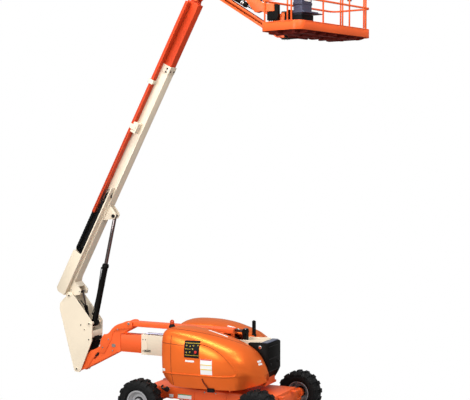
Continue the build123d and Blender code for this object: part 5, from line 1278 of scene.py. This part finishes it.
# console at the platform's inner side: mouldings, boot, bare plates, levers, stop button and cables
console = {
    "y": -0.03,
    # outward, along, up, then width, length, height and corner of each moulding
    "mouldings": ((-0.315, 0.0, 0.93, (0.20, 0.44, 0.10, 0.02)),
                  (-0.315, 0.0, 0.60, (0.215, 0.36, 0.05, 0.02)),
                  (-0.265, 0.10, 0.425, (0.27, 0.64, 0.018, 0.03))),
    "bootAt": (-0.315, 0.30), "boot": (0.25, 0.40, 0.17, 0.03),
    "cards": ((-0.418, 0.97, (0.22, 0.10, 0.004, 0.006)), (-0.203, 0.70, (0.20, 0.12, 0.004, 0.006))),
    "levers": ((-0.17, 0.07), (-0.05, 0.05), (0.10, 0.07)), "leverAt": (-0.33, 1.105), "lean": 0.1,
    # along and radius: of a lever's foot, and of its knob past the lever's reach
    "leverFoot": ((0, 0.030), (0.008, 0.024), (0.014, 0.010)),
    "leverKnob": ((0, 0.007), (0.004, 0.014), (0.03, 0.017), (0.04, 0.0)),
    "toggles": 7, "toggleLean": 0.35,
    "toggleAt": (-0.27, -0.18, 1.065), "togglePitch": 0.055,
    "toggle": [(0, 0.010), (0.006, 0.010), (0.008, 0.005), (0.026, 0.004), (0.027, 0.0)],
    "stopAt": (-0.33, 0.18, 1.10),
    "stop": [(0, 0.018), (0.016, 0.018), (0.018, 0.028), (0.03, 0.028), (0.036, 0.02), (0.037, 0)],
    "pedalAt": (-0.12, -0.05), "pedal": (0.15, 0.28, 0.03, 0.02), "pedalWide": 0.12,
    "pedalZ": 0.062, "pedalCoverZ": 0.10, "thinCable": 0.01,
    "pedalCover": [(-0.07, -0.02), (0.07, -0.02), (0.065, 0.0), (-0.06, 0.045)],
    # radius and route of each cable, measured on the deck
    "cables": ((0.007, ((-0.20, -0.02, 0.066), (-0.27, 0.0, 0.064), (-0.32, 0.04, 0.10),
                        (-0.33, 0.05, 0.24))),
               (0.013, ((-0.40, 0.10, 0.26), (-0.47, 0.12, 0.20), (-0.56, 0.10, 0.22), (-0.64, 0.04, 0.20),
                        (-0.70, -0.02, 0.10))),
               (0.011, ((-0.40, -0.06, 0.26), (-0.48, -0.06, 0.17), (-0.60, -0.03, 0.12),
                        (-0.71, 0.02, 0.06))))}
boxes = bmesh.new()
for x, y, z, sizes in console["mouldings"]:
    plateAt(boxes, onDeck(x, console["y"] + y, z), outward, lengthway, *sizes)
pieceFrom(boxes, "console_mouldings", "greyPlastic", "platform", edge=0.006)
boot = bmesh.new()
x, z = console["bootAt"]
plateAt(boot, onDeck(x, console["y"], z), outward, lengthway, *console["boot"])
pieceFrom(boot, "console_boot", "blackPlastic", "platform", edge=0.006)
card = bmesh.new()
for x, z, sizes in console["cards"]:
    plateAt(card, onDeck(x, console["y"], z), lengthway, upWays, *sizes)
pieceFrom(card, "console_bare_plates", "plateWhite", "platform")
sticks = bmesh.new()
x, z = console["leverAt"]
for y, reach in console["levers"]:
    knob = [(reach + along, radius) for along, radius in console["leverKnob"]]
    turned(sticks, onDeck(x, console["y"] + y, z), (console["lean"], 0, 1),
           [*console["leverFoot"], *knob], 20)
x, first, z = console["toggleAt"]
for y in paced(console["y"] + first, console["togglePitch"], console["toggles"]):
    turned(sticks, onDeck(x, y, z), (console["toggleLean"], 0, 1), console["toggle"], 12)
pieceFrom(sticks, "console_sticks", "blackPlastic", "platform")
halt = bmesh.new()
x, y, z = console["stopAt"]
turned(halt, onDeck(x, console["y"] + y, z), (console["lean"], 0, 1), console["stop"], 24)
pieceFrom(halt, "console_stop_button", "stopRed", "platform")
pedal = bmesh.new()
plateAt(pedal, onDeck(*console["pedalAt"], console["pedalZ"]), outward, lengthway, *console["pedal"])
slab(pedal, onDeck(*console["pedalAt"], console["pedalCoverZ"]), outward, upWays, console["pedalCover"],
     console["pedalWide"])
pieceFrom(pedal, "foot_switch", "blackPlastic", "platform", edge=0.004)
lead = bmesh.new()
for radius, route in console["cables"]:
    hose(lead, [onDeck(*spot) for spot in route], radius, 8 if radius < console["thinCable"] else 10)
pieceFrom(lead, "console_cables", "hoseRubber", "platform")
outletBox = {"y": 0.50, "z": 0.70, "boxIn": 0.045, "capIn": 0.07, "box": (0.075, 0.11, 0.05, 0.01),
             "cap": [(0, 0.026), (0.014, 0.026), (0.018, 0.022)]}
socketBox = bmesh.new()
plateAt(socketBox, onDeck(platform["railX"] - outletBox["boxIn"], outletBox["y"], outletBox["z"]),
        lengthway, upWays, *outletBox["box"])
turned(socketBox, onDeck(platform["railX"] - outletBox["capIn"], outletBox["y"], outletBox["z"]), -outward,
       outletBox["cap"], 20)
pieceFrom(socketBox, "platform_power_socket", "blackPlastic", "platform", edge=0.003)
gateCatch = {"x": -0.26, "z": 1.05, "proud": 0.001, "plate": (0.045, 0.07, 0.036, 0.008)}
catch = bmesh.new()
plateAt(catch, onDeck(gateCatch["x"], platform["railY"] + gateCatch["proud"], gateCatch["z"]), outward,
        upWays, *gateCatch["plate"])
pieceFrom(catch, "gate_catch", "zincSteel", "platform", edge=0.001)
print("platform done")

# engine bay and tanks: what shows when the hoods are up
bay = {"y": 0.64, "first": -0.16, "pitch": 0.17, "count": 4, "coverZ": 1.465,
       "cover": (0.13, 0.26, 0.075, 0.03), "finAt": (0.10, 0.885, 0.90), "finPitch": 0.038, "fins": 14,
       "fin": [(-0.36, -0.006), (0.36, -0.006), (0.36, 0.012), (-0.36, 0.012)],
       "fanAt": (-0.30, 0.64, 1.12), "blades": 7, "bladeOut": 0.12, "bladeAhead": 0.035,
       "cowl": [(0, 0.22), (0.06, 0.22), (0.06, 0.205), (0.012, 0.205), (0.012, 0.05), (0.05, 0.045),
                (0.055, 0.0)],
       "blade": [(-0.08, -0.02), (0.075, -0.035), (0.075, 0.035), (-0.08, 0.02)],
       # place, way, profile and number of sides: the air filter, then the two filler caps
       "filters": (((-0.22, 0.52, 1.53), aheadX, [(0, 0.05), (0.01, 0.085), (0.06, 0.09), (0.30, 0.09),
                                                  (0.33, 0.08), (0.36, 0.05)], 36),
                   ((0.56, -0.50, 1.35), upWays, [(0, 0.05), (0.03, 0.05), (0.035, 0.062), (0.16, 0.062),
                                                  (0.175, 0.05), (0.18, 0.0)], 32),
                   ((-0.18, -0.62, 1.35), upWays, [(0, 0.045), (0.02, 0.045), (0.024, 0.055), (0.05, 0.052),
                                                   (0.055, 0.0)], 28)),
       "engineHose": 0.018, "tankHose": 0.013}
engineXs = paced(bay["first"], bay["pitch"], bay["count"])
covers = bmesh.new()
for x in engineXs:
    plateAt(covers, (x, bay["y"], bay["coverZ"]), aheadX, sideWay, *bay["cover"])
for z in paced(bay["finAt"][2], bay["finPitch"], bay["fins"]):
    slab(covers, (bay["finAt"][0], bay["finAt"][1], z), aheadX, sideWay, bay["fin"], 0.012)
pieceFrom(covers, "engine_covers", "castIron", "turntable", edge=0.003)
fan = bmesh.new()
fanSpot = Vector(bay["fanAt"])
turned(fan, fanSpot, -aheadX, bay["cowl"], 40)
for k in range(bay["blades"]):
    t = 2 * math.pi * k / bay["blades"]
    spoke = Vector((0, math.cos(t), math.sin(t)))
    slab(fan, fanSpot - aheadX * bay["bladeAhead"] + spoke * bay["bladeOut"], spoke,
         spoke.cross(aheadX) + aheadX * 0.5, bay["blade"], 0.005)
pieceFrom(fan, "engine_fan", "blackPlastic", "turntable")
filters = bmesh.new()
for place, way, profile, sides in bay["filters"]:
    turned(filters, place, way, profile, sides)
pieceFrom(filters, "filters_and_caps", "zincSteel", "turntable", edge=0.002)
pipes = bmesh.new()
for k, x in enumerate(engineXs):
    hose(pipes, [(x, 0.50, 1.45), (x, 0.43, 1.44), (x + 0.03, 0.405, 1.36), (0.20, 0.40, 1.18 - 0.03 * k),
                 (0.40, 0.40, 1.05 - 0.03 * k)], bay["engineHose"], 10)
for k in range(4):
    hose(pipes, [(0.40 - 0.12 * k, -0.55, 1.36), (0.40 - 0.12 * k, -0.53, 1.42),
                 (0.30 - 0.10 * k, -0.45, 1.41), (0.22 - 0.08 * k, -0.40, 1.2),
                 (0.20 - 0.06 * k, -0.38, 0.95)], bay["tankHose"], 10)
pieceFrom(pipes, "bay_hoses", "hoseRubber", "turntable")
print("engine bay done")

# studio: a soft key from the front left, a strip overhead, a fill on the right, and a floor that reads white
studio = {"world": 0.42, "worldColour": (0.95, 0.97, 1.0, 1), "near": 0.98, "nearTo": 2.0, "farFrom": 5.0,
          "floorSize": 400, "floorColour": (0.42, 0.41, 0.40, 1), "azimuth": 25.006, "pitch": -2.723,
          "eye": (10.093, -21.012, 5.452), "lens": 90.52, "sensor": 36.0, "seesTo": 500.0,
          # place, aim, power, width and height of each lamp
          "lamps": {"keyLamp": ((-5.0, -19.0, 8.0), (-0.5, 0, 4.5), 2000.0, 8.0, 6.0),
                    "stripLamp": ((1.0, -4.5, 15.5), (0.5, -0.5, 1.5), 1900.0, 12.0, 2.5),
                    "fillLamp": ((14.0, -10.0, 14.0), (1.0, 0, 6.0), 1080.0, 6.0, 6.0)}}


def mathNode(tree, operation, first, second):
    node = tree.nodes.new("ShaderNodeMath")
    node.operation = operation
    tree.links.new(first, node.inputs[0])
    tree.links.new(second, node.inputs[1])
    return node.outputs[0]


def paleBackdrop(name):
    # pale floor: white to the camera, with a little of the object's shadow left in close round it
    mat = bpy.data.materials.new(name)
    mat.use_nodes = True
    tree = mat.node_tree
    link = tree.links.new
    skin = tree.nodes["Principled BSDF"]
    skin.inputs["Base Color"].default_value = studio["floorColour"]
    skin.inputs["Roughness"].default_value = 0.9
    rays = tree.nodes.new("ShaderNodeLightPath")
    glow = tree.nodes.new("ShaderNodeEmission")
    glow.inputs["Color"].default_value = (1, 1, 1, 1)
    glow.inputs["Strength"].default_value = 1.0
    place = tree.nodes.new("ShaderNodeTexCoord")
    reach = tree.nodes.new("ShaderNodeVectorMath")
    reach.operation = "LENGTH"
    link(place.outputs["Object"], reach.inputs[0])
    spread = rangeNode(tree, reach.outputs["Value"], (studio["nearTo"], studio["farFrom"]),
                       (studio["near"], 1.0))
    seen = mathNode(tree, "MAXIMUM", rays.outputs["Is Camera Ray"], rays.outputs["Is Transmission Ray"])
    mix = tree.nodes.new("ShaderNodeMixShader")
    link(mathNode(tree, "MULTIPLY", seen, spread), mix.inputs[0])
    link(skin.outputs[0], mix.inputs[1])
    link(glow.outputs[0], mix.inputs[2])
    link(mix.outputs[0], tree.nodes["Material Output"].inputs["Surface"])
    return mat


bpy.ops.mesh.primitive_plane_add(size=studio["floorSize"], location=(0, 0, 0))
ground = bpy.context.object
ground.name = "studio_floor"
ground.data.materials.append(paleBackdrop("studioWhite"))

world = bpy.data.worlds.new("studio")
bpy.context.scene.world = world
world.use_nodes = True
sky = world.node_tree
sky.nodes.clear()
lit = sky.nodes.new("ShaderNodeBackground")
lit.inputs["Color"].default_value = studio["worldColour"]
lit.inputs["Strength"].default_value = studio["world"]
white = sky.nodes.new("ShaderNodeBackground")  # what the camera sees in place of the light
white.inputs["Color"].default_value = (1, 1, 1, 1)
rays = sky.nodes.new("ShaderNodeLightPath")
pick = sky.nodes.new("ShaderNodeMixShader")
target = sky.nodes.new("ShaderNodeOutputWorld")
sky.links.new(rays.outputs["Is Camera Ray"], pick.inputs[0])
sky.links.new(lit.outputs[0], pick.inputs[1])
sky.links.new(white.outputs[0], pick.inputs[2])
sky.links.new(pick.outputs[0], target.inputs["Surface"])


def lamp(name, place, aim, power, width, height):
    data = bpy.data.lights.new(name, "AREA")
    data.shape = "RECTANGLE"
    data.energy = power
    data.size = width
    data.size_y = height
    made = bpy.data.objects.new(name, data)
    bpy.context.scene.collection.objects.link(made)
    made.location = place
    made.rotation_euler = (Vector(aim) - Vector(place)).to_track_quat("-Z", "Y").to_euler()


for name, settings in studio["lamps"].items():
    lamp(name, *settings)

turnRad = math.radians(studio["azimuth"])
pitchRad = math.radians(studio["pitch"])
rightWay = Vector((math.cos(turnRad), math.sin(turnRad), 0))
aheadWay = Vector((-math.sin(turnRad) * math.cos(pitchRad), math.cos(turnRad) * math.cos(pitchRad),
                   math.sin(pitchRad)))
upWay = rightWay.cross(aheadWay)
lensData = bpy.data.cameras.new("camera")
lensData.lens = studio["lens"]
lensData.sensor_width = studio["sensor"]
lensData.clip_end = studio["seesTo"]
camera = bpy.data.objects.new("camera", lensData)
bpy.context.scene.collection.objects.link(camera)
camera.matrix_world = Matrix((
    (rightWay.x, upWay.x, -aheadWay.x, studio["eye"][0]),
    (rightWay.y, upWay.y, -aheadWay.y, studio["eye"][1]),
    (rightWay.z, upWay.z, -aheadWay.z, studio["eye"][2]),
    (0, 0, 0, 1)))
bpy.context.scene.camera = camera
bpy.context.scene.view_settings.view_transform = "Standard"
print("studio set")
